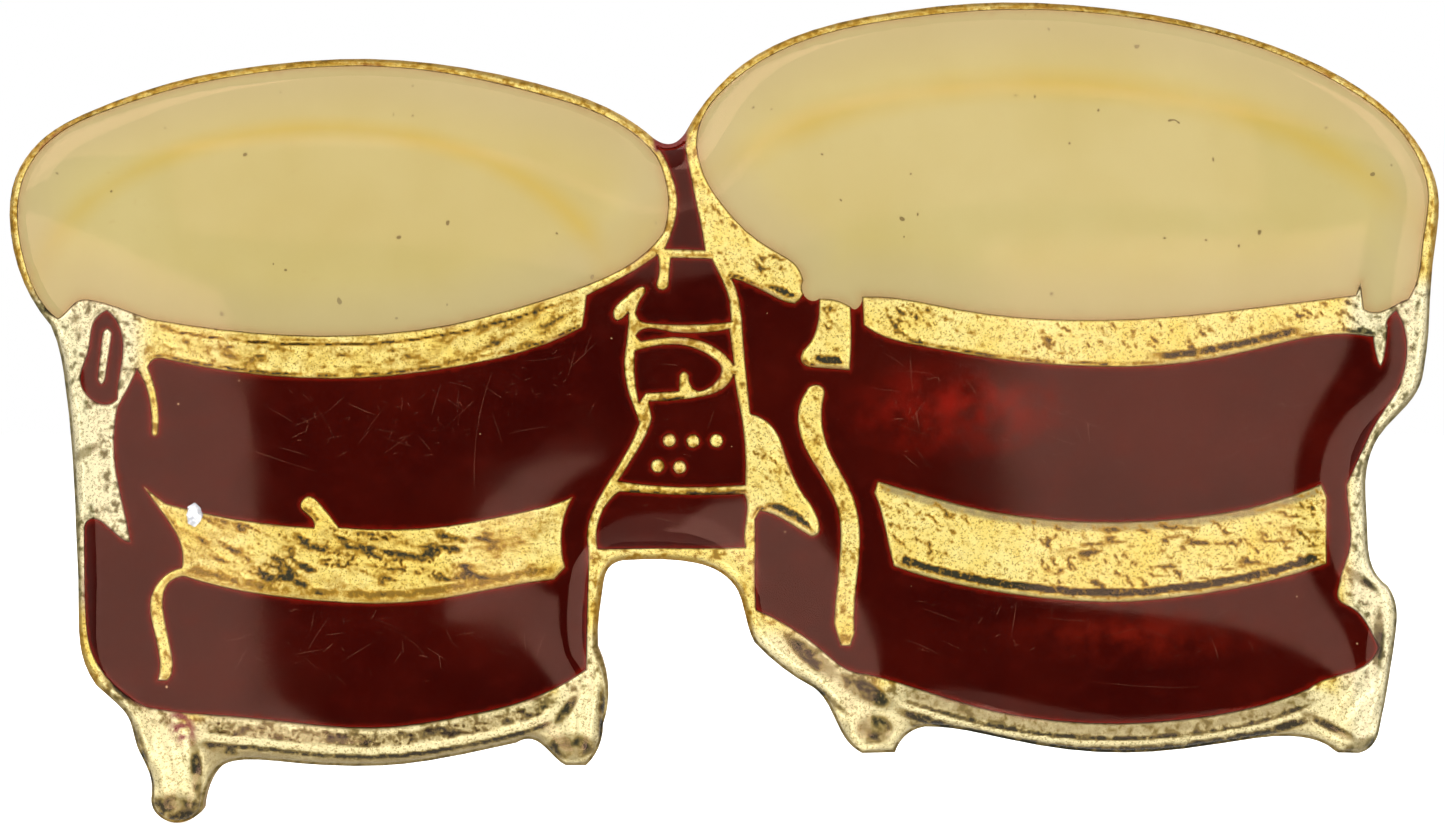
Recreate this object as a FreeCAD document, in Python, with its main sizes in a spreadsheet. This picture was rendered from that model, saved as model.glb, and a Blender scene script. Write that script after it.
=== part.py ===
import FreeCAD, Part
import os
import Sketcher
from FreeCAD import Placement, Rotation, Vector

# An enamel lapel pin that pictures a pair of bongo drums, held by two butterfly clutches.
# Millimetres. Seen from the front, X runs right and Z up; the face looks along -Y.
# The origin is the centre of the plate's back, where the cloth lies; posts and clutches run along +Y.

# ---------------------------------------------------------------- driving sizes

SIZES = {
    # struck plate, enamel and resin
    "plate_thick": 1.4,
    "cell_depth": 0.4,
    "enamel_thick": 0.3,
    "dome_rise": 0.9,
    "dome_blank": 1.5,
    "dome_round_wide": 320.0,
    "dome_round_high": 101.0,
    "dome_centre_up": 0.8,
    # posts: a wide foot soldered to the plate, a thick shank for the cloth, and a thinner stem
    "post_apart": 17.0,
    "foot_radius": 1.1,
    "foot_thick": 0.3,
    "shank_radius": 0.7,
    "shank_top": 1.9,
    "stem_radius": 0.5,
    "tip_start": 6.9,
    "post_length": 8.0,
    "solder_radius": 1.75,
    "solder_high": 0.22,
    # butterfly clutch, measured from its cloth side
    "cloth_gap": 2.0,
    "disc_radius": 5.3,
    "disc_thick": 0.4,
    "disc_hole": 0.75,
    "lip_width": 0.35,
    "lip_high": 0.7,
    "dimple_radius": 0.45,
    "dimple_place": 4.1,
    "dimple_deep": 0.18,
    "housing_radius": 3.3,
    "housing_wall": 0.3,
    "housing_top": 3.6,
    "housing_hole": 0.85,
    "flange_radius": 3.8,
    "flange_top": 0.65,
    "window_wide": 3.0,
    "window_low": 1.6,
    "window_top": 3.1,
    "sheet_thick": 0.45,
    "jaw_inner": 0.12,
    "jaw_low": 1.25,
    "elbow_out": 3.15,
    "elbow_low": 2.0,
    "finger_out": 6.9,
    "finger_low": 5.8,
    "wing_wide": 6.6,
    "notch_radius": 0.6,
    "spring_radius": 1.3,
    "wire_radius": 0.12,
    "spring_pitch": 0.27,
    "spring_rise": 0.54,
}
DIMPLES = 6
SIDES = {"left": -0.5, "right": 0.5}
HALF_TURN = 180.0

# ---------------------------------------------------------------- artwork
# An outline is a list of strokes of (x, z) points. A stroke is a smooth curve through its points and on
# to the first point of the next stroke, where the outline has a corner; a stroke of one point is a
# straight line. The last stroke closes onto the first.

SILHOUETTE = [
    [(-14.95, 1.95), (-15.5, 2.8), (-15.85, 4.1), (-15.75, 5.2), (-15.1, 6.12), (-14, 6.74),
     (-12, 7.42), (-10, 7.76), (-8, 7.88), (-6, 7.72), (-4, 7.3), (-2.5, 6.76)],
    [(-1.55, 6.12), (-1.15, 5.99)],
    [(-0.85, 6.22), (-0.35, 6.98), (0.5, 7.8), (2, 8.52), (4, 8.95), (6, 9.13), (8, 9.06),
     (10, 8.78), (12, 8.25), (14, 7.33), (15.3, 6.2), (15.91, 4.9), (15.8, 3.4), (15.7, 1.7)],
    [(15.6, 0.95), (15.2, 0.15), (14.6, -0.5), (14.33, -1.2), (14.34, -2.4), (14.5, -3.5)],
    [(14.8, -3.84), (14.97, -4.2), (14.93, -5.2), (14.75, -6.4)],
    [(14.6, -7.1), (14.4, -7.45)],
    [(14.15, -7.57)],
    [(13.7, -7.56), (13.25, -7.3), (12.6, -7.19), (11.5, -7.29), (10.2, -7.48), (9.0, -7.56),
     (7.6, -7.48), (6.3, -7.25), (5.2, -7.03)],
    [(4.5, -6.98), (4.1, -7.15)],
    [(3.83, -7.55)],
    [(3.1, -7.57), (2.65, -7.12), (2.4, -6.6)],
    [(2.0, -6.1), (1.3, -5.65)],
    [(0.7, -5.1), (0.5, -4.5), (0.3, -3.9), (-0.1, -3.52), (-0.8, -3.3), (-1.6, -3.25)],
    [(-2.25, -3.28), (-2.58, -3.5), (-2.7, -4.0), (-2.79, -4.7)],
    [(-2.79, -5.2), (-2.62, -5.7), (-2.56, -6.2)],
    [(-2.68, -6.95), (-2.85, -7.6)],
    [(-3.05, -7.84)],
    [(-3.5, -7.84), (-3.85, -7.55), (-4.15, -7.3)],
    [(-4.6, -7.34), (-5.8, -7.6), (-7.2, -7.82), (-8.6, -7.85)],
    [(-9.9, -7.75), (-10.7, -7.72), (-11.15, -7.85), (-11.45, -8.25)],
    [(-11.58, -8.8), (-11.8, -9.02), (-12.2, -9.12), (-12.58, -8.95)],
    [(-12.72, -8.5), (-12.82, -7.9), (-13.05, -7.4), (-13.25, -6.75), (-13.6, -6.36)],
    [(-13.95, -6.05), (-14.25, -5.4), (-14.33, -4.2), (-14.4, -2.4), (-14.5, -0.7),
     (-14.62, 0.5), (-14.75, 1.3)],
]

HEAD_LEFT = [
    [(-14.75, 2.12), (-15.15, 2.5), (-15.5, 3.35), (-15.66, 4.4), (-15.5, 5.3), (-14.9, 6.1),
     (-13.6, 6.76), (-12, 7.24), (-10, 7.59), (-8, 7.7), (-6, 7.5), (-4, 7.03), (-2.5, 6.5),
     (-1.62, 5.8), (-1.25, 5.0), (-1.24, 4.3)],
    [(-1.32, 3.98), (-2, 3.33), (-3, 2.84), (-4, 2.5), (-6, 1.97), (-8, 1.73), (-10, 1.75),
     (-12, 1.98)],
    [(-12.7, 2.1), (-13.2, 2.28), (-13.85, 2.49), (-14.3, 2.5), (-14.55, 2.28)],
]

LUG_RING = [
    [(-13.65, 2.28), (-13.92, 2.05), (-14.05, 1.4), (-14.22, 0.75), (-14.05, 0.38), (-13.7, 0.2)],
    [(-13.42, 0.32), (-13.38, 0.8), (-13.32, 1.75), (-13.42, 2.02)],
]
LUG_ISLAND = [
    [(-13.86, 0.75), (-13.77, 0.64)],
    [(-13.68, 0.75)],
    [(-13.53, 1.78), (-13.64, 1.89)],
    [(-13.75, 1.78)],
]

SHELL_LEFT = [
    # short wall that hangs from the hoop
    [(-12.98, 0.98), (-12.74, 0.45), (-12.66, -0.1)],
    [(-12.66, -0.45), (-12.58, -0.52)],
    [(-12.5, -0.45), (-12.49, 0.0), (-12.57, 0.55)],
    [(-12.73, 1.02), (-12.62, 1.18)],
    # under the hoop and the head's rim, then round the stub between the drums
    [(-12.4, 1.21), (-11.3, 0.98), (-10, 0.82), (-8.5, 0.76), (-7, 0.86), (-5.5, 1.1), (-4, 1.5)],
    [(-3.12, 1.9), (-3.06, 2.25)],
    [(-3.02, 2.6), (-2.5, 2.85), (-2.0, 3.12)],
    [(-1.45, 3.48), (-1.42, 3.2)],
    [(-1.48, 2.86), (-1.42, 2.73), (-1.28, 2.73)],
    [(-1.2, 2.86)],
    [(-1.15, 3.42)],
    # the top of the centre block and the hooked wall on its left
    [(-0.25, 3.4), (-0.1, 3.1), (0.06, 2.75)],
    [(0.16, 2.3)],
    [(0.18, 2.02), (-0.8, 1.96)],
    [(-1.7, 2.0), (-1.88, 2.1)],
    [(-1.93, 2.22), (-1.87, 2.42)],
    [(-1.72, 2.66), (-1.76, 2.8), (-1.95, 2.74), (-2.25, 2.5), (-2.44, 2.25), (-2.4, 2.07)],
    [(-2.22, 2.1)],
    [(-2.1, 2.22), (-2.13, 1.7), (-2.2, 1.0), (-2.08, 0.4)],
    [(-1.86, -0.19), (-2.25, -1.0), (-2.6, -1.55), (-2.95, -2.2)],
    [(-3.05, -2.9)],
    # along the foot of the drum and up its outer side
    [(-3.08, -5.7), (-4.4, -6.36), (-5.8, -6.7), (-7.5, -6.94), (-9.3, -6.86), (-10.8, -6.7),
     (-12.1, -6.62)],
    [(-12.8, -6.5), (-13.4, -6.1), (-13.95, -5.4), (-14.15, -4.4), (-14.17, -3.3)],
    [(-14.15, -2.5), (-13.98, -2.35), (-13.6, -2.55)],
    [(-13.12, -2.86), (-13.25, -2.2), (-13.44, -1.3), (-13.48, -0.4)],
    [(-13.4, 0.15), (-13.2, 0.5)],
]
BAND_LEFT = [
    [(-12.83, -1.62)],
    [(-12.34, -2.0), (-11.3, -2.25), (-10.3, -2.42)],
    [(-9.07, -2.53), (-9.18, -2.28), (-9.38, -2.05), (-9.22, -1.84), (-8.95, -1.98)],
    [(-8.52, -2.52), (-7.3, -2.57), (-6, -2.47), (-4.8, -2.24), (-3.8, -2.0)],
    [(-3.35, -1.83), (-3.5, -2.15), (-3.6, -2.6)],
    [(-3.53, -3.4)],
    [(-3.78, -3.68), (-5, -3.87), (-6.4, -4.13), (-7.8, -4.22), (-9.3, -4.13), (-10.8, -3.92)],
    [(-11.95, -3.62), (-12.3, -3.8), (-12.38, -4.5)],
    [(-12.34, -5.93)],
    [(-12.55, -5.93), (-12.6, -4.9), (-12.66, -4.0), (-12.4, -3.62)],
    [(-12.0, -3.42), (-12.0, -3.0), (-12.25, -2.45)],
]

GAP = [
    [(-1.46, 5.9), (-1.15, 5.3), (-1.0, 4.7), (-1.06, 4.2)],
    [(-1.28, 3.63)],
    [(-0.4, 3.6), (-0.5, 4.2), (-0.65, 4.9), (-0.75, 5.5)],
    [(-0.84, 6.02), (-1.13, 5.88)],
]

BLOCK_UPPER = [
    [(-1.93, 1.72), (-1.8, 1.84), (-1.2, 1.8), (-0.6, 1.77)],
    [(0.14, 1.86), (0.2, 1.4)],
    [(0.24, 1.08), (0.0, 1.35), (-0.4, 1.58), (-0.9, 1.69), (-1.4, 1.67)],
    [(-1.82, 1.6)],
]
EYE = [
    [(-1.95, 1.38), (-1.55, 1.48), (-1.1, 1.52), (-0.65, 1.44), (-0.25, 1.24), (-0.04, 1.0),
     (-0.12, 0.76), (-0.35, 0.56)],
    [(-0.55, 0.5), (-0.7, 0.62)],
    [(-0.75, 0.84), (-0.87, 0.93)],
    [(-0.97, 0.84)],
    [(-0.98, 0.5)],
    [(-1.72, 0.46)],
    [(-1.86, 0.26), (-1.93, 0.6), (-1.96, 1.0)],
]
BLOCK_MIDDLE = [
    [(-1.64, 0.27), (-1.2, 0.28), (-0.6, 0.35), (-0.15, 0.46), (0.1, 0.62)],
    [(0.24, 0.86), (0.3, 0.5), (0.4, 0.0), (0.48, -0.6)],
    [(0.5, -1.56), (-0.6, -1.6), (-1.8, -1.54)],
    [(-2.33, -1.47), (-2.0, -0.97), (-1.72, -0.5)],
    [(-1.57, -0.1)],
]
BLOCK_LOWER = [
    [(-2.3, -1.71), (-0.9, -1.78)],
    [(0.48, -1.77), (0.55, -2.1), (0.5, -2.5)],
    [(0.52, -2.93)],
    [(-2.82, -2.95), (-2.8, -2.45), (-2.62, -2.03)],
]
DOTS = [(-1.19, -0.58), (-0.66, -0.6), (-0.14, -0.59), (-1.45, -1.14), (-0.96, -1.17)]
DOT_RADIUS = 0.155

# where the right head's colour meets the right shell's, on each side of the tab under its rim
DRIP_INNER = [(1.79, 2.92), (1.8, 2.62), (1.93, 2.5)]
TAB_TOP = [(2.14, 2.53), (2.5, 2.5)]
DRIP_OUTER = [(2.84, 2.35), (2.93, 2.3), (3.04, 2.38)]

HEAD_RIGHT = [
    DRIP_INNER,
    TAB_TOP,
    DRIP_OUTER,
    [(3.09, 2.58), (4, 2.53), (5, 2.34), (6, 2.18), (7.5, 2.07), (9, 2.08), (10.5, 2.19),
     (12, 2.37), (13.2, 2.52)],
    [(14.02, 2.62)],
    [(14.13, 2.9)],
    [(14.2, 2.32), (14.45, 2.24), (14.8, 2.35)],
    [(15.2, 2.55), (15.38, 2.95), (15.52, 3.9), (15.64, 4.9), (15.42, 5.7), (14.9, 6.45), (13.9, 7.19),
     (12, 8.1), (10, 8.64), (8, 8.91), (6, 8.94), (4, 8.75), (2, 8.33), (0.8, 7.78), (0, 7.17),
     (-0.4, 6.65), (-0.53, 6.0), (-0.4, 5.25), (0, 4.6), (0.5, 4.05), (1.1, 3.62), (1.6, 3.3)],
]

SHELL_RIGHT = [
    # collar under the head's rim, the two drips and the tab
    [(0.2, 2.98), (0.6, 2.84), (1.0, 2.64), (1.35, 2.47)],
    [(1.6, 2.42), (1.72, 2.52)],
    DRIP_INNER,
    [(2.14, 2.53), (2.12, 2.1), (2.0, 1.68)],
    [(1.78, 1.4), (1.74, 1.15)],
    [(1.92, 1.02)],
    [(2.82, 0.95), (2.86, 1.6)],
    DRIP_OUTER,
    # under the hoop, round the finger and into the slot beside it
    [(3.09, 2.58)],
    [(3.12, 1.95), (3.6, 1.68), (4.3, 1.5), (5.3, 1.32), (6.3, 1.16), (7.5, 1.06), (8.8, 1.02),
     (10, 1.08), (11.2, 1.27), (12.4, 1.56), (13.3, 1.73)],
    [(14.0, 1.75)],
    [(14.42, 1.7), (14.47, 1.3), (14.58, 1.06), (14.67, 1.3)],
    [(14.7, 1.95), (14.78, 2.14)],
    # down the outer side and along the foot
    [(14.93, 2.27), (15.08, 1.95), (15.14, 1.2), (14.95, 0.55), (14.55, -0.05), (14.2, -0.75),
     (13.9, -1.35)],
    [(13.8, -1.6), (13.86, -2.3), (13.88, -2.95), (13.72, -3.5)],
    [(13.64, -3.85), (13.72, -4.22), (13.98, -4.36), (14.25, -4.65)],
    [(14.52, -5.2), (14.35, -5.5), (13.7, -5.8)],
    [(13.0, -6.1), (11.7, -6.52), (10.2, -6.77), (8.7, -6.86), (7.2, -6.77), (5.8, -6.52),
     (4.4, -6.1)],
    [(3.2, -5.77), (2.75, -5.65), (2.2, -5.22), (1.5, -4.72)],
    # up the centre block's wall and round its fin
    [(0.78, -4.36)],
    [(0.74, -2.32)],
    [(0.84, -2.14), (1.25, -2.28), (1.65, -2.52)],
    [(1.98, -2.72), (2.13, -2.66), (2.14, -2.35)],
    [(1.85, -1.85), (1.55, -1.3), (1.38, -0.85), (1.2, -0.4), (0.95, -0.14)],
    [(0.62, 0.0), (0.55, 0.7), (0.47, 1.5), (0.42, 2.2), (0.34, 2.62)],
]
BAND_RIGHT = [
    [(3.44, -1.49), (4.4, -1.78), (5.4, -2.05), (6.4, -2.24), (7.7, -2.38), (9, -2.4),
     (10.4, -2.3), (11.8, -2.06), (12.6, -1.82)],
    [(13.25, -1.57)],
    [(13.38, -1.85)],
    [(13.38, -3.35), (12.6, -3.6), (11.3, -3.9), (10, -4.09), (8.8, -4.18), (7.2, -4.1),
     (5.4, -3.83), (4.45, -3.6)],
    [(3.8, -3.38), (3.68, -2.9), (3.56, -2.35)],
    [(3.36, -1.75)],
]
CURVED_WALL = [
    [(1.85, 0.5), (2.03, 0.64), (2.2, 0.6)],
    [(2.26, 0.42), (2.21, -0.15), (2.32, -0.68), (2.62, -1.27), (2.92, -1.88), (3.06, -2.6),
     (3.03, -3.4), (2.95, -4.2)],
    [(2.95, -4.85)],
    [(2.85, -5.15)],
    [(2.63, -5.15)],
    [(2.48, -4.65), (2.55, -3.8), (2.62, -2.9), (2.55, -2.1), (2.2, -1.4), (1.82, -0.75),
     (1.66, -0.15)],
]

# each enamel fill: its cell's outline, the struck islands inside it, and round dots
CELLS = {
    "enamel_head_left": (HEAD_LEFT, [], []),
    "enamel_head_right": (HEAD_RIGHT, [], []),
    "enamel_shell_left": (SHELL_LEFT, [BAND_LEFT], []),
    "enamel_shell_right": (SHELL_RIGHT, [BAND_RIGHT, CURVED_WALL], []),
    "enamel_lug_ring": (LUG_RING, [LUG_ISLAND], []),
    "enamel_gap": (GAP, [], []),
    "enamel_block_upper": (BLOCK_UPPER, [], []),
    "enamel_eye": (EYE, [], []),
    "enamel_block_middle": (BLOCK_MIDDLE, [], DOTS),
    "enamel_block_lower": (BLOCK_LOWER, [], []),
}

# plan of one clutch wing: narrow jaw with its notch, then a round finger lobe
JAW_HALF = 1.3
WING_LOBE = [(JAW_HALF, 3.9), (2.2, 4.35), (3.15, 5.2), (3.0, 6.2), (1.8, 6.75), (0, 6.88)]

# ---------------------------------------------------------------- document helpers

doc = FreeCAD.newDocument("bongo_lapel_pin")
sheet = doc.addObject("Spreadsheet::Sheet", "Sheet")
parts = {}


def fill_sheet():
    """Write every driving size to the sheet, each under its own name."""
    for row, (name, value) in enumerate(SIZES.items(), start=1):
        sheet.set("A%d" % row, name)
        sheet.set("B%d" % row, str(value))
        sheet.setAlias("B%d" % row, name)
    doc.recompute()


def total(*names):
    """The sum of named sizes as a value and a formula; a name with a leading minus is taken away."""
    value = 0.0
    formula = ""
    for name in names:
        sign = "-" if name.startswith("-") else "+"
        plain = name.lstrip("-")
        value += -SIZES[plain] if sign == "-" else SIZES[plain]
        formula += " %s Sheet.%s" % (sign, plain)
    return value, formula.lstrip(" +")


def bind(thing, prop, *names):
    thing.setExpression(prop, total(*names)[1])


def new_body(name):
    return doc.addObject("PartDesign::Body", name)


def new_sketch(body, name, role):
    """A sketch on one of the body's own origin planes."""
    plane = [face for face in body.Origin.OriginFeatures if face.Role == role][0]
    sketch = body.newObject("Sketcher::SketchObject", name)
    sketch.AttachmentSupport = [(plane, "")]
    sketch.MapMode = "FlatFace"
    return sketch


def draw(sketch, outline):
    """Add a closed outline to a sketch, stroke by stroke."""
    following = outline[1:] + outline[:1]
    for stroke, after in zip(outline, following):
        points = [Vector(x, z, 0) for x, z in stroke + after[:1]]
        if len(points) == 2:
            sketch.addGeometry(Part.LineSegment(points[0], points[1]), False)
        else:
            curve = Part.BSplineCurve()
            curve.interpolate(points)
            sketch.addGeometry(curve, False)


def draw_cell(sketch, cell):
    outline, islands, dots = cell
    draw(sketch, outline)
    for island in islands:
        draw(sketch, island)
    for x, z in dots:
        sketch.addGeometry(Part.Circle(Vector(x, z, 0), Vector(0, 0, 1), DOT_RADIUS), False)


def place_corner(sketch, line, across, up):
    """Hold the start of a line at a distance from the sketch's origin, each way bound to the sheet."""
    for kind, axis, names in (("DistanceX", -2, across), ("DistanceY", -1, up)):
        if names:
            value, formula = total(*names)
            number = sketch.addConstraint(Sketcher.Constraint(kind, -1, 1, line, 1, value))
            sketch.setExpression("Constraints[%d]" % number, formula)
        else:
            sketch.addConstraint(Sketcher.Constraint("PointOnObject", line, 1, axis))


def draw_profile(sketch, corners):
    """A closed polygon; each corner is a pair of name lists whose sums place it."""
    points = [Vector(total(*a)[0], total(*b)[0], 0) for a, b in corners]
    count = len(points)
    for i in range(count):
        sketch.addGeometry(Part.LineSegment(points[i], points[(i + 1) % count]), False)
    for i in range(count):
        sketch.addConstraint(Sketcher.Constraint("Coincident", i, 2, (i + 1) % count, 1))
    for i, (across, up) in enumerate(corners):
        place_corner(sketch, i, across, up)


def extrude(body, kind, sketch, *length):
    feature = body.newObject("PartDesign::" + kind, sketch.Name + "_" + kind.lower())
    feature.Profile = sketch
    bind(feature, "Length", *length)
    return feature


def face_sketch(body, name, *height):
    """A sketch parallel to the plate's back, at a height in front of it."""
    sketch = new_sketch(body, name, "XZ_Plane")
    bind(sketch, "AttachmentOffset.Base.z", *height)
    return sketch


def turned(body, corners):
    """A solid of revolution about the body's Y axis."""
    sketch = new_sketch(body, body.Name + "_profile", "XY_Plane")
    draw_profile(sketch, corners)
    feature = body.newObject("PartDesign::Revolution", body.Name + "_turned")
    feature.Profile = sketch
    feature.ReferenceAxis = (sketch, ["V_Axis"])
    feature.Angle = 360.0
    return feature


def keep(node, thing):
    thing.Label = node
    parts[node] = thing


def stand(thing, side, *height):
    """Move a piece from the origin to its post, at a height behind the plate's back."""
    share = "%g * Sheet.post_apart" % SIDES[side]
    thing.setExpression("Placement.Base.x", share)
    if height:
        bind(thing, "Placement.Base.y", *height)


# ---------------------------------------------------------------- the face


def make_base_plate():
    body = new_body("base_plate")
    outline = new_sketch(body, "plate_outline", "XZ_Plane")
    draw(outline, SILHOUETTE)
    extrude(body, "Pad", outline, "plate_thick")
    for node, cell in CELLS.items():
        opening = face_sketch(body, node + "_opening", "plate_thick")
        draw_cell(opening, cell)
        extrude(body, "Pocket", opening, "cell_depth")
    keep("base_plate", body)


def make_enamel(node, cell):
    body = new_body(node)
    sketch = face_sketch(body, node + "_floor", "plate_thick", "-cell_depth")
    draw_cell(sketch, cell)
    extrude(body, "Pad", sketch, "enamel_thick")
    keep(node, body)


def make_dome():
    """Clear resin: it fills the cells above the enamel and rises to a lens over the whole face."""
    body = new_body("dome_blank")
    outline = face_sketch(body, "dome_outline", "plate_thick")
    draw(outline, SILHOUETTE)
    extrude(body, "Pad", outline, "dome_blank")
    for node, cell in CELLS.items():
        top = face_sketch(body, node + "_top", "plate_thick", "-cell_depth", "enamel_thick")
        draw_cell(top, cell)
        extrude(body, "Pad", top, "cell_depth", "-enamel_thick")
    # the outside of a large torus curves gently along X and more tightly along Z
    lens = doc.addObject("Part::Torus", "dome_lens")
    bind(lens, "Radius1", "dome_round_wide", "-dome_round_high")
    bind(lens, "Radius2", "dome_round_high")
    bind(lens, "Placement.Base.y", "dome_round_wide", "-plate_thick", "-dome_rise")
    bind(lens, "Placement.Base.z", "dome_centre_up")
    dome = doc.addObject("Part::Common", "dome_common")
    dome.Base = body
    dome.Tool = lens
    keep("epoxy_dome", dome)


# ---------------------------------------------------------------- posts


def make_post(side):
    body = new_body("post_" + side)
    turned(body, [
        ([], []),
        (["foot_radius"], []),
        (["foot_radius"], ["foot_thick"]),
        (["shank_radius"], ["foot_thick"]),
        (["shank_radius"], ["shank_top"]),
        (["stem_radius"], ["shank_top"]),
        (["stem_radius"], ["tip_start"]),
        ([], ["post_length"]),
    ])
    stand(body, side)
    keep("post_" + side, body)


def make_solder(side):
    body = new_body("solder_" + side)
    turned(body, [
        (["foot_radius"], []),
        (["solder_radius"], []),
        (["foot_radius"], ["solder_high"]),
    ])
    stand(body, side)
    keep("solder_" + side, body)


# ---------------------------------------------------------------- butterfly clutches


def make_disc(side):
    body = new_body("clutch_disc_" + side)
    inside_lip = ["disc_radius", "-lip_width"]
    turned(body, [
        (["disc_hole"], []),
        (["disc_radius"], []),
        (["disc_radius"], ["lip_high"]),
        (inside_lip, ["lip_high"]),
        (inside_lip, ["disc_thick"]),
        (["disc_hole"], ["disc_thick"]),
    ])
    doc.recompute()
    sketch = new_sketch(body, body.Name + "_dimple", "XZ_Plane")
    ring = Part.Circle(Vector(SIZES["dimple_place"], 0, 0), Vector(0, 0, 1), SIZES["dimple_radius"])
    sketch.addGeometry(ring, False)
    size = sketch.addConstraint(Sketcher.Constraint("Radius", 0, SIZES["dimple_radius"]))
    bind(sketch, "Constraints[%d]" % size, "dimple_radius")
    place_centre = Sketcher.Constraint("DistanceX", -1, 1, 0, 3, SIZES["dimple_place"])
    bind(sketch, "Constraints[%d]" % sketch.addConstraint(place_centre), "dimple_place")
    sketch.addConstraint(Sketcher.Constraint("PointOnObject", 0, 3, -1))
    dimple = extrude(body, "Pocket", sketch, "dimple_deep")
    doc.recompute()
    pattern = body.newObject("PartDesign::PolarPattern", body.Name + "_dimples")
    pattern.Originals = [dimple]
    pattern.Axis = (sketch, ["N_Axis"])
    pattern.Angle = 360.0
    pattern.Occurrences = DIMPLES
    body.Tip = pattern
    stand(body, side, "cloth_gap")
    keep("clutch_disc_" + side, body)


def make_housing(side):
    body = new_body("clutch_housing_" + side)
    inner = ["housing_radius", "-housing_wall"]
    under_top = ["housing_top", "-housing_wall"]
    turned(body, [
        (inner, ["disc_thick"]),
        (["flange_radius"], ["disc_thick"]),
        (["flange_radius"], ["flange_top"]),
        (["housing_radius"], ["flange_top"]),
        (["housing_radius"], ["housing_top"]),
        (["housing_hole"], ["housing_top"]),
        (["housing_hole"], under_top),
        (inner, under_top),
    ])
    doc.recompute()
    window = new_sketch(body, body.Name + "_window", "XY_Plane")
    draw_window(window)
    cut = extrude(body, "Pocket", window, "housing_radius", "housing_radius")
    cut.Midplane = True
    stand(body, side, "cloth_gap")
    keep("clutch_housing_" + side, body)


def draw_window(sketch):
    """A rectangle centred on the post's axis, for both side windows at once."""
    half = SIZES["window_wide"] / 2
    low = SIZES["window_low"]
    high = SIZES["window_top"]
    corners = [Vector(-half, low, 0), Vector(half, low, 0), Vector(half, high, 0), Vector(-half, high, 0)]
    for i in range(4):
        sketch.addGeometry(Part.LineSegment(corners[i], corners[(i + 1) % 4]), False)
    for i in range(4):
        sketch.addConstraint(Sketcher.Constraint("Coincident", i, 2, (i + 1) % 4, 1))
    for line, kind in ((1, "Vertical"), (2, "Horizontal"), (3, "Vertical")):
        sketch.addConstraint(Sketcher.Constraint(kind, line))
    sketch.addConstraint(Sketcher.Constraint("Symmetric", 0, 1, 0, 2, -2))
    wide = sketch.addConstraint(Sketcher.Constraint("DistanceX", 0, 1, 0, 2, 2 * half))
    bind(sketch, "Constraints[%d]" % wide, "window_wide")
    bottom = sketch.addConstraint(Sketcher.Constraint("DistanceY", -1, 1, 0, 1, low))
    bind(sketch, "Constraints[%d]" % bottom, "window_low")
    top = sketch.addConstraint(Sketcher.Constraint("DistanceY", -1, 1, 2, 1, high))
    bind(sketch, "Constraints[%d]" % top, "window_top")


def wing_plan():
    """The wing seen along the post: jaw, notch round the post, and the finger lobe."""
    inner = SIZES["jaw_inner"]
    notch = SIZES["notch_radius"]
    notch_edge = (notch ** 2 - inner ** 2) ** 0.5
    mirrored = [(-x, z) for x, z in WING_LOBE[-2::-1]]
    return [
        [(JAW_HALF, inner)],
        WING_LOBE + mirrored[:-1],
        [mirrored[-1]],
        [(-JAW_HALF, inner)],
        [(-notch_edge, inner), (-notch * 0.7071, notch * 0.7071), (0, notch),
         (notch * 0.7071, notch * 0.7071)],
        [(notch_edge, inner)],
    ]


def make_wing(side, name, turn):
    """A bent strip: the side profile across its width, trimmed to the wing's plan."""
    node = "wing_%s_%s" % (name, side)
    strip = new_body(node + "_strip")
    profile = new_sketch(strip, node + "_profile", "YZ_Plane")
    draw_profile(profile, [
        (["jaw_low"], ["jaw_inner"]),
        (["elbow_low"], ["elbow_out"]),
        (["finger_low"], ["finger_out"]),
        (["finger_low", "sheet_thick"], ["finger_out"]),
        (["elbow_low", "sheet_thick"], ["elbow_out"]),
        (["jaw_low", "sheet_thick"], ["jaw_inner"]),
    ])
    across = extrude(strip, "Pad", profile, "wing_wide")
    across.Midplane = True
    plan = new_body(node + "_plan")
    outline = new_sketch(plan, node + "_outline", "XZ_Plane")
    draw(outline, wing_plan())
    along = extrude(plan, "Pad", outline, "post_length")
    along.Reversed = True
    wing = doc.addObject("Part::Common", node + "_common")
    wing.Base = strip
    wing.Tool = plan
    wing.Placement = Placement(Vector(0, 0, 0), Rotation(Vector(0, 1, 0), turn))
    stand(wing, side, "cloth_gap")
    keep(node, wing)


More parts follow.
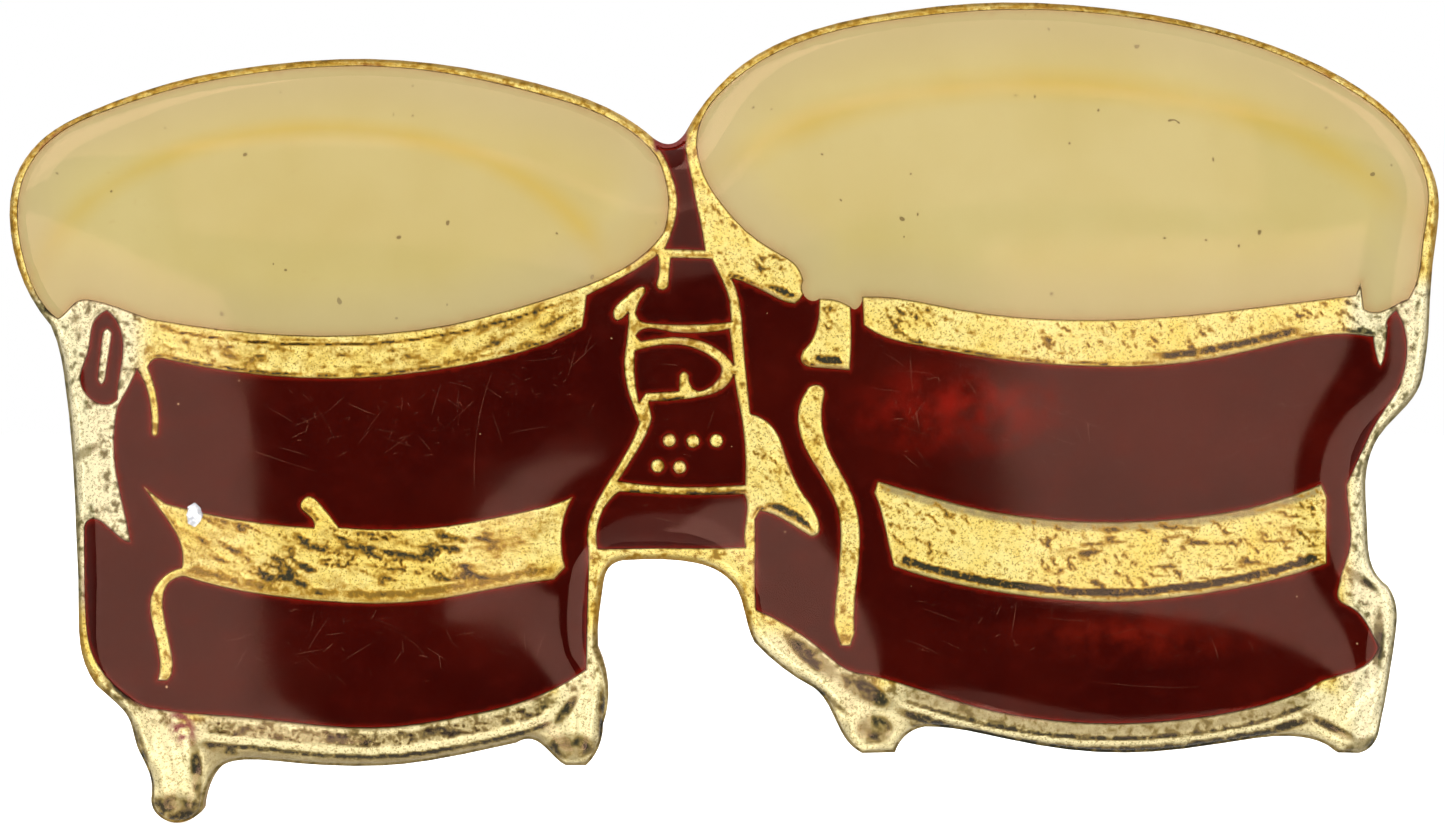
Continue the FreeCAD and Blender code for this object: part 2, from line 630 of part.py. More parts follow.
def make_spring(side):
    """Two turns of wire round the post, between the disc and the jaws."""
    body = new_body("grip_spring_" + side)
    sketch = new_sketch(body, body.Name + "_wire", "XY_Plane")
    low = SIZES["disc_thick"] + SIZES["wire_radius"]
    centre = Vector(SIZES["spring_radius"], low, 0)
    sketch.addGeometry(Part.Circle(centre, Vector(0, 0, 1), SIZES["wire_radius"]), False)
    size = sketch.addConstraint(Sketcher.Constraint("Radius", 0, SIZES["wire_radius"]))
    bind(sketch, "Constraints[%d]" % size, "wire_radius")
    out = sketch.addConstraint(Sketcher.Constraint("DistanceX", -1, 1, 0, 3, SIZES["spring_radius"]))
    bind(sketch, "Constraints[%d]" % out, "spring_radius")
    up = sketch.addConstraint(Sketcher.Constraint("DistanceY", -1, 1, 0, 3, low))
    bind(sketch, "Constraints[%d]" % up, "disc_thick", "wire_radius")
    coil = body.newObject("PartDesign::AdditiveHelix", body.Name + "_coil")
    coil.Profile = sketch
    coil.ReferenceAxis = (sketch, ["V_Axis"])
    coil.Mode = "pitch-height-angle"
    bind(coil, "Pitch", "spring_pitch")
    bind(coil, "Height", "spring_rise")
    stand(body, side, "cloth_gap")
    keep("grip_spring_" + side, body)


# ---------------------------------------------------------------- build, check and write


def build_all():
    fill_sheet()
    make_base_plate()
    for node, cell in CELLS.items():
        make_enamel(node, cell)
    make_dome()
    for side in SIDES:
        make_post(side)
        make_solder(side)
        make_disc(side)
        make_housing(side)
        make_wing(side, "upper", 0.0)
        make_wing(side, "lower", HALF_TURN)
        make_spring(side)
    doc.recompute()


def check_all():
    """Stop if any object failed, or if a piece's shape is missing, broken or hollowed out."""
    for thing in doc.Objects:
        if "Invalid" in thing.State or "Error" in thing.State:
            raise RuntimeError("%s failed: %s" % (thing.Name, thing.State))
    for node, thing in parts.items():
        shape = thing.Shape
        if shape.isNull() or not shape.isValid() or shape.Volume <= 0:
            raise RuntimeError("%s has no valid solid" % node)
        if len(shape.Solids) != 1:
            raise RuntimeError("%s is %d solids" % (node, len(shape.Solids)))


def check_pockets():
    """The struck cells take away exactly the enamel's area times their depth."""
    removed = sum(parts[node].Shape.Volume for node in CELLS) / SIZES["enamel_thick"]
    blank = doc.getObject("plate_outline_pad").Shape.Volume
    expected = blank - removed * SIZES["cell_depth"]
    actual = parts["base_plate"].Shape.Volume
    if abs(actual - expected) > 0.001 * blank:
        raise RuntimeError("cells cut %.2f, not %.2f" % (blank - actual, blank - expected))


def write_all():
    os.makedirs("parts", exist_ok=True)
    for node, thing in parts.items():
        thing.Shape.exportStep("parts/%s.step" % node)
        box = thing.Shape.BoundBox
        print("%-24s %9.3f mm3  x %.2f..%.2f  y %.2f..%.2f  z %.2f..%.2f" % (
            node, thing.Shape.Volume, box.XMin, box.XMax, box.YMin, box.YMax, box.ZMin, box.ZMax))


build_all()
check_all()
check_pockets()
write_all()
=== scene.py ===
import math

import bmesh
import bpy
import numpy as np
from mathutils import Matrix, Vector
from mathutils.geometry import delaunay_2d_cdt
from mathutils.kdtree import KDTree


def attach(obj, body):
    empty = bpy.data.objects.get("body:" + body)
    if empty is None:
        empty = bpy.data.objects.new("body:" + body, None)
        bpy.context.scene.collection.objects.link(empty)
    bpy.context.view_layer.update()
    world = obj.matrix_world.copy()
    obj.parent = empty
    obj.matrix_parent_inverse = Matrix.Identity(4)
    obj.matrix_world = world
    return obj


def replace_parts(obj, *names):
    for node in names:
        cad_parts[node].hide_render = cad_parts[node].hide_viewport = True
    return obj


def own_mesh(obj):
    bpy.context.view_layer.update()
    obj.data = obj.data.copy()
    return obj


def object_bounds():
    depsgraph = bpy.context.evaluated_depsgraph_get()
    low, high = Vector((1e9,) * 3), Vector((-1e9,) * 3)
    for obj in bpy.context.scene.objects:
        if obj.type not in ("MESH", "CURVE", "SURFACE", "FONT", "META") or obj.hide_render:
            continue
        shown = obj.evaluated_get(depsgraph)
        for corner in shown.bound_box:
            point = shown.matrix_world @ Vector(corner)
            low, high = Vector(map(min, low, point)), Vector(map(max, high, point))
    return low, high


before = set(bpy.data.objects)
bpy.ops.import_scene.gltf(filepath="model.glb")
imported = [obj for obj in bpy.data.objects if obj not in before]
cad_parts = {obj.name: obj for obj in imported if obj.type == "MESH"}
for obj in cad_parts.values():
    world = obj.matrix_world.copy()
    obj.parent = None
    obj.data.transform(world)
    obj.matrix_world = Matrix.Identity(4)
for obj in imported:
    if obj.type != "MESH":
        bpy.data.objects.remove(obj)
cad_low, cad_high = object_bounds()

# An enamel lapel pin that pictures bongo drums: struck gold plate, soft enamel in its cells, a resin
# dome over both, and two posts with butterfly clutches behind. Lengths in the helpers are in mm.

MM = 0.001
FRONT = -1.4  # the struck walls' front
ENAMEL_TOP = -1.3
CELL_FLOOR = -1.0

# ---- repeatable noise on arrays


def lattice(i, j, seed):
    """A repeatable number from 0 to 1 for each whole-number lattice point."""
    n = (i * 374761393 + j * 668265263 + seed * 1274126177) & 0xFFFFFFFF
    n = ((n ^ (n >> 13)) * 1274126177) & 0xFFFFFFFF
    return ((n ^ (n >> 16)) & 0xFFFF) / 65535.0


def soft_noise(x, z, seed):
    """Smooth noise from -1 to 1, with features about one unit across."""
    i, j = np.floor(x).astype(np.int64), np.floor(z).astype(np.int64)
    u, v = x - i, z - j
    u, v = u * u * (3 - 2 * u), v * v * (3 - 2 * v)
    low = lattice(i, j, seed) * (1 - u) + lattice(i + 1, j, seed) * u
    high = lattice(i, j + 1, seed) * (1 - u) + lattice(i + 1, j + 1, seed) * u
    return 2 * (low * (1 - v) + high * v) - 1


def turned(x, z, degrees):
    """The points turned about the origin."""
    c, s = math.cos(math.radians(degrees)), math.sin(math.radians(degrees))
    return x * c - z * s, x * s + z * c


def layered(x, z, seed, layers=3):
    """Soft noise in layers, each half the size and strength of the one before."""
    total, share = 0, 0.55
    for k in range(layers):
        total = total + share * soft_noise(*turned(x * 2**k, z * 2**k, 37 * k + 11), seed + k)
        share *= 0.5
    return total


def smooth(t):
    """0 below 0, 1 above 1, and an even S-curve between."""
    t = np.clip(t, 0, 1)
    return t * t * (3 - 2 * t)


def zone(x, z, x0, x1, z0, z1, soft=0.25):
    """1 inside a box, fading to 0 over soft."""
    across = smooth((x - x0) / soft) * smooth((x1 - x) / soft)
    return across * smooth((z - z0) / soft) * smooth((z1 - z) / soft)


def most(first, *others):
    """The largest of several masks at each point."""
    for other in others:
        first = np.maximum(first, other)
    return first


# ---- outlines and fine meshes


def flat_loops(name, y):
    """The closed outlines of a CAD node's faces that lie flat at depth y, as arrays of (x, z)."""
    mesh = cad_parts[name].data
    mesh.calc_loop_triangles()
    co = np.empty(len(mesh.vertices) * 3)
    mesh.vertices.foreach_get("co", co)
    co = co.reshape(-1, 3) / MM
    tri = np.empty(len(mesh.loop_triangles) * 3, np.int64)
    mesh.loop_triangles.foreach_get("vertices", tri)
    tri = tri.reshape(-1, 3)
    tri = tri[np.all(np.abs(co[tri][:, :, 1] - y) < 0.002, axis=1)]
    flat, same = np.unique(np.round(co[:, [0, 2]], 3), axis=0, return_inverse=True)
    tri = same.reshape(-1)[tri]
    # slivers whose corners fell together would hide real edges
    tri = tri[(tri[:, 0] != tri[:, 1]) & (tri[:, 1] != tri[:, 2]) & (tri[:, 2] != tri[:, 0])]
    edges = {(int(t[k]), int(t[(k + 1) % 3])) for t in tri for k in range(3)}
    follow = {a: b for a, b in edges if (b, a) not in edges}
    loops = []
    while follow:
        first = min(follow)
        loop, at = [], first
        while at in follow:
            loop.append(at)
            at = follow.pop(at)
        loops.append(flat[loop])
    return loops


def spaced(loop, step):
    """A closed outline with points added so that none are further apart than step."""
    out = []
    for a, b in zip(loop, np.roll(loop, -1, axis=0)):
        count = max(1, math.ceil(np.hypot(*(b - a)) / step))
        out += [a + (b - a) * k / count for k in range(count)]
    return np.array(out)


def sideways(loop):
    """The unit vector square to a closed outline at each of its points, to its left."""
    along = np.roll(loop, -1, axis=0) - np.roll(loop, 1, axis=0)
    along /= np.maximum(np.hypot(along[:, 0], along[:, 1]), 1e-9)[:, None]
    return np.stack([-along[:, 1], along[:, 0]], axis=1)


def leftward(loop):
    """Whether a closed outline runs with its inside on its left."""
    ahead = np.roll(loop, -1, axis=0)
    return np.sum(loop[:, 0] * ahead[:, 1] - ahead[:, 0] * loop[:, 1]) > 0


def joined(above, below, flip=False):
    """Quads that join two closed rows of points."""
    quads = zip(above, np.roll(above, -1), np.roll(below, -1), below)
    return [(b, a, d, c) if flip else (a, b, c, d) for a, b, c, d in quads]


def crossings(loops, z):
    """The places, in order, where the line at height z crosses the outlines."""
    found = []
    for loop in loops:
        a, b = loop, np.roll(loop, -1, axis=0)
        cut = (a[:, 1] <= z) != (b[:, 1] <= z)
        a, b = a[cut], b[cut]
        found.append(a[:, 0] + (z - a[:, 1]) * (b[:, 0] - a[:, 0]) / (b[:, 1] - a[:, 1]))
    return np.sort(np.concatenate(found))


def inside(loops, points):
    """Whether each point is inside an odd number of the outlines."""
    a = np.concatenate(loops)
    b = np.concatenate([np.roll(loop, -1, axis=0) for loop in loops])
    out = np.zeros(len(points), bool)
    rise = np.where(b[:, 1] == a[:, 1], 1.0, b[:, 1] - a[:, 1])
    for k in range(0, len(points), 2000):
        p = points[k : k + 2000]
        cut = (a[None, :, 1] <= p[:, None, 1]) != (b[None, :, 1] <= p[:, None, 1])
        x = a[None, :, 0] + (p[:, None, 1] - a[None, :, 1]) * ((b[:, 0] - a[:, 0]) / rise)[None]
        out[k : k + 2000] = np.sum(cut & (x > p[:, None, 0]), axis=1) % 2 == 1
    return out


class Edge:
    """Finds the nearest place on some outlines."""

    def __init__(self, loops, step=0.02):
        self.points = np.concatenate([spaced(loop, step) for loop in loops])
        self.tree = KDTree(len(self.points))
        for k, p in enumerate(self.points):
            self.tree.insert((p[0], p[1], 0), k)
        self.tree.balance()

    def near(self, points):
        """The distance to the outlines, and the unit direction towards them."""
        found = [self.tree.find((p[0], p[1], 0)) for p in points]
        distance = np.array([f[2] for f in found])
        to = self.points[[f[1] for f in found]] - points
        return distance, to / np.maximum(distance, 1e-6)[:, None]


def grid_points(loops, step, jitter, seed):
    """Points in an even, slightly jittered triangular pattern inside the outlines."""
    low = np.min([loop.min(0) for loop in loops], axis=0)
    high = np.max([loop.max(0) for loop in loops], axis=0)
    rows = []
    for k, z in enumerate(np.arange(low[1], high[1], step * 0.866)):
        x = np.arange(low[0] + (k % 2) * step / 2, high[0], step)
        x = x[np.searchsorted(crossings(loops, z), x) % 2 == 1]
        rows.append(np.stack([x, np.full(len(x), z)], axis=1))
    points = np.concatenate(rows)
    rng = np.random.default_rng(seed)
    return points + (rng.random(points.shape) - 0.5) * step * jitter


def triangles(loops, extra):
    """Triangles over the outlines' points, which come first, and the extra ones.

    Gives the points, the triangles, whether each is inside, and the number of outline points.
    """
    points = np.concatenate([*loops, extra]) if len(extra) else np.concatenate(loops)
    edges, start = [], 0
    for loop in loops:
        n = len(loop)
        edges += [(start + k, start + (k + 1) % n) for k in range(n)]
        start += n
    made = delaunay_2d_cdt([Vector(p) for p in points], edges, [], 0, 1e-7, False)
    xz = np.array([tuple(p) for p in made[0]])
    tri = np.array([f for f in made[2] if len(f) == 3])
    a, b, c = xz[tri[:, 0]], xz[tri[:, 1]], xz[tri[:, 2]]
    turn = (b[:, 0] - a[:, 0]) * (c[:, 1] - a[:, 1]) - (b[:, 1] - a[:, 1]) * (c[:, 0] - a[:, 0])
    tri = np.where((turn < 0)[:, None], tri[:, ::-1], tri)[np.abs(turn) > 1e-9]
    within = np.ones(len(tri), bool)
    doubtful = np.all(tri < start, axis=1)
    within[doubtful] = inside(loops, xz[tri[doubtful]].mean(1))
    return xz, tri, within, start


def solid(name, points, faces, sharp, masks=None, turn_out=False):
    """A smooth-shaded mesh object from points in mm and faces."""
    mesh = bpy.data.meshes.new(name)
    faces = [tuple(int(i) for i in face) for face in faces]
    mesh.from_pydata((np.asarray(points) * MM).tolist(), [], faces)
    mesh.validate()
    if turn_out:
        work = bmesh.new()
        work.from_mesh(mesh)
        bmesh.ops.recalc_face_normals(work, faces=work.faces)
        work.to_mesh(mesh)
        work.free()
    for key, values in (masks or {}).items():
        kept = mesh.attributes.new(key, "FLOAT", "POINT")
        kept.data.foreach_set("value", np.asarray(values, np.float32))
    mesh.shade_smooth()
    mesh.set_sharp_from_angle(angle=math.radians(sharp))
    obj = bpy.data.objects.new(name, mesh)
    bpy.context.scene.collection.objects.link(obj)
    return obj


def deep(xz, y):
    """Points (x, z) at depth y."""
    return np.stack([xz[:, 0], np.broadcast_to(y, len(xz)), xz[:, 1]], axis=1)


# ---- the plate

plate_loops = flat_loops("base_plate", FRONT)
plate_loops.sort(key=lambda loop: np.ptp(loop[:, 0]), reverse=True)
OUTLINE = spaced(plate_loops[0], 0.09)
CELL_EDGES = [spaced(loop, 0.07) for loop in plate_loops[1:]]
rim_edge, cell_edge = Edge([OUTLINE]), Edge(CELL_EDGES)


def rough_zone(x, z):
    """The left drum's hoop and band, struck with dense creases."""
    return most(zone(x, z, -12.7, -2.9, 0.2, 2.75), zone(x, z, -12.5, -3.2, -4.4, -1.5))


def fleck_zone(x, z):
    """The right drum's hoop and band, and the collar and fin beside the block."""
    drum = most(zone(x, z, 1.7, 14.6, 0.5, 2.8), zone(x, z, 3.1, 13.8, -4.8, -1.4))
    return most(drum, zone(x, z, -0.6, 2.0, 2.4, 6.3), zone(x, z, 0.1, 2.6, -2.8, 1.6))


def mark(x, z, at, size, degrees=0):
    """1 inside a soft ellipse with the given half sizes, 0 outside."""
    u, v = turned(x - at[0], z - at[1], -degrees)
    return smooth(1.7 - 1.4 * np.hypot(u / size[0], v / size[1]))


# hollows and shaded facets of the feet and the lower rims: place, half size and tilt
SHADOWS = (
    ((-12.2, -8.8), (0.75, 0.38), 0),
    ((-12.9, -7.7), (0.17, 0.9), 16),
    ((-11.72, -7.9), (0.14, 0.8), 3),
    ((-11.2, -7.42), (0.55, 0.13), -12),
    ((-13.3, -6.2), (0.6, 0.12), -40),
    ((-3.4, -7.4), (0.62, 0.3), 0),
    ((-2.72, -6.8), (0.1, 0.8), 0),
    ((-3.5, -6.6), (0.12, 0.45), -35),
    ((2.0, -5.4), (0.8, 0.22), -38),
    ((3.2, -6.15), (0.8, 0.25), -30),
    ((3.4, -7.0), (0.4, 0.35), 0),
    ((2.2, -6.2), (0.8, 0.08), -38),
    ((4.5, -7.0), (0.4, 0.1), -20),
    ((13.5, -6.95), (0.8, 0.1), -28),
    ((14.2, -7.4), (0.5, 0.2), 20),
    ((14.55, -5.0), (0.12, 0.7), 0),
    ((14.15, -3.7), (0.5, 0.1), -35),
    ((-14.9, 2.3), (0.3, 0.15), 0),
    ((-14.2, -0.9), (0.4, 0.12), 30),
)
# where the painted shade along a lower edge is heavy: its share, and a box with its softness
HEAVY_EDGE_SHADE = (
    (1.0, (3.6, 13.4, -4.8, -2.4, 0.3)),
    (0.85, (9.3, 13.0, 0.6, 2.4, 0.5)),
    (0.6, (-12.4, -3.3, -4.6, -2.6, 0.4)),
    (1.0, (0.9, 2.4, -3.0, -1.9, 0.15)),
    (1.0, (0.8, 1.8, 2.2, 2.9, 0.15)),
    (1.0, (2.0, 3.0, 0.7, 1.35, 0.1)),
)
# raised folds of the feet: place, half size, tilt and depth to either side
FOLDS = (
    ((-12.25, -7.9), (0.55, 1.1), 14, 0.22),
    ((-2.97, -6.7), (0.4, 1.0), 0, 0.16),
    ((3.0, -6.95), (0.5, 0.6), -30, 0.16),
    ((14.2, -6.6), (0.5, 0.9), -40, 0.18),
)


def creases(x, z):
    """Depth of the left drum's hoop and band, and the painted shade in their crease lines, hollows and spots.
    """
    band = z < -0.5
    curve = np.where(band, -0.042 * (x + 5) ** 2, -0.055 * (x + 8) ** 2)
    drift = 0.35 * layered(x * 0.9, z * 1.3, 5)
    flow = layered(x * 2.0 + drift, (z + curve) * 6.5 + drift, 41, 4)
    line = np.exp(-((flow / 0.06) ** 2)) * smooth(0.35 + 1.6 * layered(x * 1.7, z * 2.6, 31))
    hollow = np.clip(-flow - 0.1, 0, 1)
    spots = np.clip(layered(x * 4.5, (z + curve) * 10, 47) - 0.1, 0, 1)
    middle = zone(x, z, -11.9, -4.9, -4.6, -1.4, 1.9)
    strength = np.where(band, 0.4 + 0.9 * middle, 0.45)
    dark = strength * (1.0 * line + 3.0 * hollow) + 1.1 * spots * (1 - 0.4 * band)
    return strength * (0.06 * line + 0.13 * hollow) + 0.04 * spots, np.clip(dark, 0, 0.85)


def lower_rims(x, z, s):
    """Depth of the drums' lower rims, and their painted shade, dark in the grooves and lines and tan at the
    edges, by the distance s below the enamel.
    """
    grain = layered(x * 6, z * 9, 141)
    left = zone(x, z, -11.7, -3.7, -8.4, -5.9, 0.35)
    groove = left * smooth((s - 0.12) / 0.05) * smooth((0.46 - s) / 0.06)
    pits = np.exp(-((layered(x * 3.2, z * 7.5, 143, 4) / 0.09) ** 2))
    sink = groove * (0.05 + 0.06 * pits)
    patchy = smooth(0.2 + 2.2 * grain) * smooth(0.8 + layered(x, z, 145))
    dark = groove * (0.25 + 0.5 * patchy + 0.4 * pits)
    dark = most(dark, left * smooth(1.5 - np.abs(s - 0.67) / 0.05) * (0.95 + 0.5 * grain))
    tan = left * most(smooth((0.1 - s) / 0.05), 0.9 * smooth((s - 0.68) / 0.06))
    right = zone(x, z, 3.7, 13.3, -8.2, -5.2, 0.6)
    for at, wide, share in ((0.34, 0.05, 0.95), (0.62, 0.09, 1.2)):
        line = right * smooth(1.5 - np.abs(s - at + 0.03 * grain) / wide)
        sink = sink + 0.03 * line
        dark = most(dark, share * line * (0.85 + 0.7 * grain))
    tan = most(tan, right * most(0.85 * smooth((0.32 - s) / 0.08), 0.7 * smooth((s - 0.66) / 0.06)))
    return sink, np.clip(dark, 0, 1), tan


def relief(xz):
    """Depth of the struck front at each point, and how dark, tan and pale its plating is painted, the dark
    and tan mostly as painted shade.
    """
    x, z = xz[:, 0], xz[:, 1]
    from_cell, to_cell = cell_edge.near(xz)
    from_rim, _ = rim_edge.near(xz)
    width = from_cell + from_rim
    # walls have rounded shoulders, and the rim falls away to the outline
    shoulder = 0.1
    short = np.clip(shoulder - from_cell, 0, shoulder)
    sink = shoulder - np.sqrt(shoulder**2 - short**2)
    reach = np.minimum(0.3, 0.5 * width)
    bevel = np.minimum(0.3, 0.6 * width) * np.clip(1 - from_rim / reach, 0, 1) ** 1.4
    sink = np.maximum(sink, bevel)
    inner = smooth(from_cell / 0.12) * smooth(from_rim / 0.22)
    grain = layered(x * 9, z * 9, 81, 2)
    rough = rough_zone(x, z) * inner
    cut, cut_dark = creases(x, z)
    sink = sink + rough * cut
    # short slanting flecks
    u, v = turned(x, z, 38)
    pits = np.clip(layered(u * 5.0, v * 13.0, 61) - 0.22, 0, 1) * smooth(0.75 + layered(x, z, 65))
    streaks = np.clip(layered((x + z) * 1.6, z * 9.0, 67) - 0.16, 0, 1)
    streaks = streaks * zone(x, z, 7.0, 13.9, -4.6, -1.5, 1.5)
    flecks = fleck_zone(x, z) * inner
    sink = sink + flecks * (0.1 * pits + 0.08 * streaks + 0.01 * grain)
    sink = sink + 0.007 * (grain + 1) * smooth(from_cell / 0.06)
    wear_and_shade = layered(x * 2.2, z * 2.2, 91)
    sink = sink + 0.035 * np.clip(wear_and_shade, 0, 1) * smooth((0.7 - from_rim) / 0.3) * inner
    # feet: folded facets and shaded hollows
    for at, size, tilt, depth in FOLDS:
        u, _ = turned(x - at[0], z - at[1], -tilt)
        sink = sink + depth * mark(x, z, at, size, tilt) * np.clip(np.abs(u) / size[0] - 0.12, 0, 1)
    shade = np.zeros(len(x))
    for at, size, tilt in SHADOWS:
        shade = most(shade, mark(x, z, at, size, tilt))
    mottle = smooth(0.55 + 1.7 * layered(x * 4.5, z * 4.5, 121, 4))
    sink = sink + 0.05 * shade * mottle
    # incised lines under the left head's bead, along the lower edges and up the outer rims; those along the
    # lower edges are also darkened as painted shade
    down, up = smooth(-to_cell[:, 1] * 1.3 - 0.1), smooth(to_cell[:, 1] * 1.3 - 0.1)
    ragged = 0.02 * layered(x * 4, z * 4, 73)
    bead = up * zone(x, z, -12.4, -2.9, 0.2, 2.8) * np.exp(-(((from_cell - 0.2 + ragged) / 0.03) ** 2))
    bead = bead * smooth(0.8 + layered(x * 1.2, z, 75))
    heavy_shade = most(*(share * zone(x, z, *box) for share, box in HEAVY_EDGE_SHADE))
    low = smooth((0.11 - np.abs(from_cell - 0.21 + ragged)) / 0.05) * heavy_shade
    low = most(low, np.exp(-(((from_cell - 0.07 + ragged) / 0.04) ** 2)) * (1 - heavy_shade))
    broad = most(rough_zone(x, z), fleck_zone(x, z))
    breaks = layered(x * 2.5, z * 2.5, 95)
    low = low * down * (0.5 + 0.5 * broad) * smooth(0.8 + 0.8 * heavy_shade + 1.6 * breaks)
    sink = sink + 0.05 * bead + 0.05 * low * (from_cell > 0.08)
    rim_sink, rim_dark, rim_tan = lower_rims(x, z, from_cell)
    sink = sink + rim_sink * smooth(from_rim / 0.15)
    # plating masks; the dark and tan ones are mostly painted shade
    rim = smooth((0.15 - from_rim) / 0.12)
    thin = (1 - broad) * smooth((0.4 - from_cell) / 0.15)
    # painted shade under the block's bars, torn along its edge
    bars = most(zone(x, z, -2.2, 0.45, -2.0, -1.5, 0.1), zone(x, z, -1.4, -0.1, 0.15, 0.65, 0.1))
    torn_bar_shade = smooth(0.75 + 2.0 * layered(x * 7.0, z * 7.0, 127))
    # dark: painted shade in the creases, flecks, bead line and lower rims' grooves, in the shaded facets,
    # under the lower edges and the block's bars, and on the outer rim's bevel; also dark speckle near the
    # cells
    dark = most(
        rough * cut_dark,
        flecks * np.clip(4.0 * pits + 3.2 * streaks, 0, 0.8),
        bead,
        low,
        rim_dark,
        shade * (0.25 + 0.65 * mottle),
        rim * (0.3 + 0.35 * smooth(0.1 + 2.0 * layered(x * 9, z * 9, 97))),
        0.55 * thin * smooth(3.0 * layered(x * 9.0, z * 9.0, 125, 3) - 0.1),
        bars * down * smooth((0.1 - from_cell) / 0.05) * torn_bar_shade,
    )
    # tan, painted shade: on the shoulders under the right band's cells, on the lips under the heavy
    # lower-edge shade, on the rims and in the shaded facets
    slope = up * smooth((0.24 - from_cell) / 0.1) * zone(x, z, 3.0, 14.0, -4.0, -1.2, 0.5)
    under = down * heavy_shade * smooth((0.12 - from_cell) / 0.04)
    tan = most(slope, rim_tan, 0.8 * rim, 0.7 * under, 0.8 * shade)
    feet = 0.75 * zone(x, z, -14.0, 15.0, -9.3, -4.6, 0.5) * smooth((1.3 - from_rim) / 0.3)
    sides = zone(x, z, -15.9, -12.6, -4.6, 3.0, 0.6), zone(x, z, 13.6, 16.2, -8.0, 3.2, 0.5)
    pale = most(*sides, feet)
    # enamel that ran over the rim
    stain = zone(x, z, -1.62, -0.72, 5.7, 7.0, 0.12) * (from_rim < 0.3)
    blot = mark(x, z, (-12.0, -6.95), (0.32, 0.5), 20)
    bleed = smooth((0.1 - from_cell) / 0.08) * smooth(-0.1 + 1.5 * layered(x * 1.3, z * 1.3, 99))
    stain = most(stain, blot * smooth(0.6 + 2 * grain), 0.8 * bleed)
    return FRONT + sink, {"dark": dark, "tan": tan, "pale": pale, "stain": stain}


def make_plate():
    loops = [OUTLINE, *CELL_EDGES]
    body = grid_points(loops, 0.058, 0.35, 3)
    body = body[(cell_edge.near(body)[0] > 0.05) & (rim_edge.near(body)[0] > 0.05)]
    # one more row of points on each side of every edge, so that the shoulders are round
    extra = np.concatenate([loop + sideways(loop) * way for loop in loops for way in (0.03, -0.03)])
    extra = extra[inside(loops, extra)]
    from_edge = np.minimum(cell_edge.near(extra)[0], rim_edge.near(extra)[0])
    extra = extra[from_edge > 0.024]
    xz, tri, within, edge_count = triangles(loops, np.concatenate([extra, body]))
    y, masks = relief(xz)
    n, rim_n = len(xz), len(OUTLINE)
    # the struck front, and the cells' floors and walls
    floors = tri[~within]
    floors = floors[inside([OUTLINE], xz[floors].mean(1))] if len(floors) else floors
    faces = [*tri[within], *(floors + n)]
    start = rim_n
    for loop in CELL_EDGES:
        row = np.arange(start, start + len(loop))
        faces += joined(row, row + n, True)
        start += len(loop)
    # the outer wall, its rounded back edge, and the back
    base = n + edge_count
    inward = sideways(OUTLINE) * (1 if leftward(OUTLINE) else -1)
    wander = 0.012 * soft_noise(OUTLINE[:, 0] * 3, OUTLINE[:, 1] * 3, 7)
    rings = ((0, -0.85), (0, -0.45), (0, -0.14), (0.035, -0.035))  # inset and depth
    walls = [deep(OUTLINE + inward * inset, depth + wander) for inset, depth in rings]
    above = np.arange(rim_n)
    for k in range(len(rings)):
        below = base + k * rim_n + np.arange(rim_n)
        faces += joined(above, below)
        above = below
    back_loop = OUTLINE + inward * 0.11
    back_grid = grid_points([back_loop], 0.22, 0.6, 9)
    back_grid = back_grid[rim_edge.near(back_grid)[0] > 0.2]
    back, back_tri, back_in, _ = triangles([back_loop], back_grid)
    sand = 0.02 * np.abs(layered(back[:, 0] * 2.3, back[:, 1] * 2.3, 17))
    sand = sand + 0.014 * lattice(np.arange(len(back)), 3, 4)
    sand[:rim_n] = 0
    back_base = base + len(rings) * rim_n
    faces += [*(back_tri[back_in][:, ::-1] + back_base)]
    faces += joined(above, back_base + np.arange(rim_n))
    floor = deep(xz[:edge_count], CELL_FLOOR)
    points = np.concatenate([deep(xz, y), floor, *walls, deep(back, -sand)])
    full = {key: np.concatenate([values, np.zeros(len(points) - n)]) for key, values in masks.items()}
    full["dark"][base:back_base] = 0.25 + 0.35 * lattice(np.arange(back_base - base), 1, 5)
    return solid("pin_plate", points, faces, 48, full)


# ---- enamel and resin


def poured(loops, body, top, under, flip):
    """Points and faces of a fill between a fine top, as deep as top says, and a flat underside."""
    xz, tri, within, count = triangles(loops, body)
    _, base_tri, base_in, _ = triangles(loops, np.zeros((0, 2)))
    n = len(xz)
    faces = [*tri[within], *(base_tri[base_in][:, ::-1] + n)]
    start = 0
    for loop in loops:
        row = np.arange(start, start + len(loop))
        faces += joined(row, row + n, flip)
        start += len(loop)
    return np.concatenate([deep(xz, top(xz)), deep(xz[:count], under)]), faces


def make_enamel(node, step=0.16):
    """Enamel that fills its cell and climbs a little up the walls."""
    loops = [spaced(loop, 0.12) for loop in flat_loops(node, ENAMEL_TOP)]
    edge = Edge(loops)
    body = grid_points(loops, step, 0.4, 13)
    if len(body):
        body = body[edge.near(body)[0] > 0.06]

    def top(xz):
        climb = 0.05 * np.exp(-edge.near(xz)[0] / 0.1)
        return ENAMEL_TOP - (climb - 0.006 * layered(xz[:, 0] * 0.8, xz[:, 1] * 0.8, 23))

    points, faces = poured(loops, body, top, CELL_FLOOR + 0.01, True)
    under = points[:, 1] > CELL_FLOOR
    d = np.where(under, 0, edge.near(points[:, [0, 2]])[0])
    masks = {"edge": np.exp(-d / 0.09), "near": smooth(1.2 - d / 1.3)}
    return solid(node + "_fill", points, faces, 60, masks)


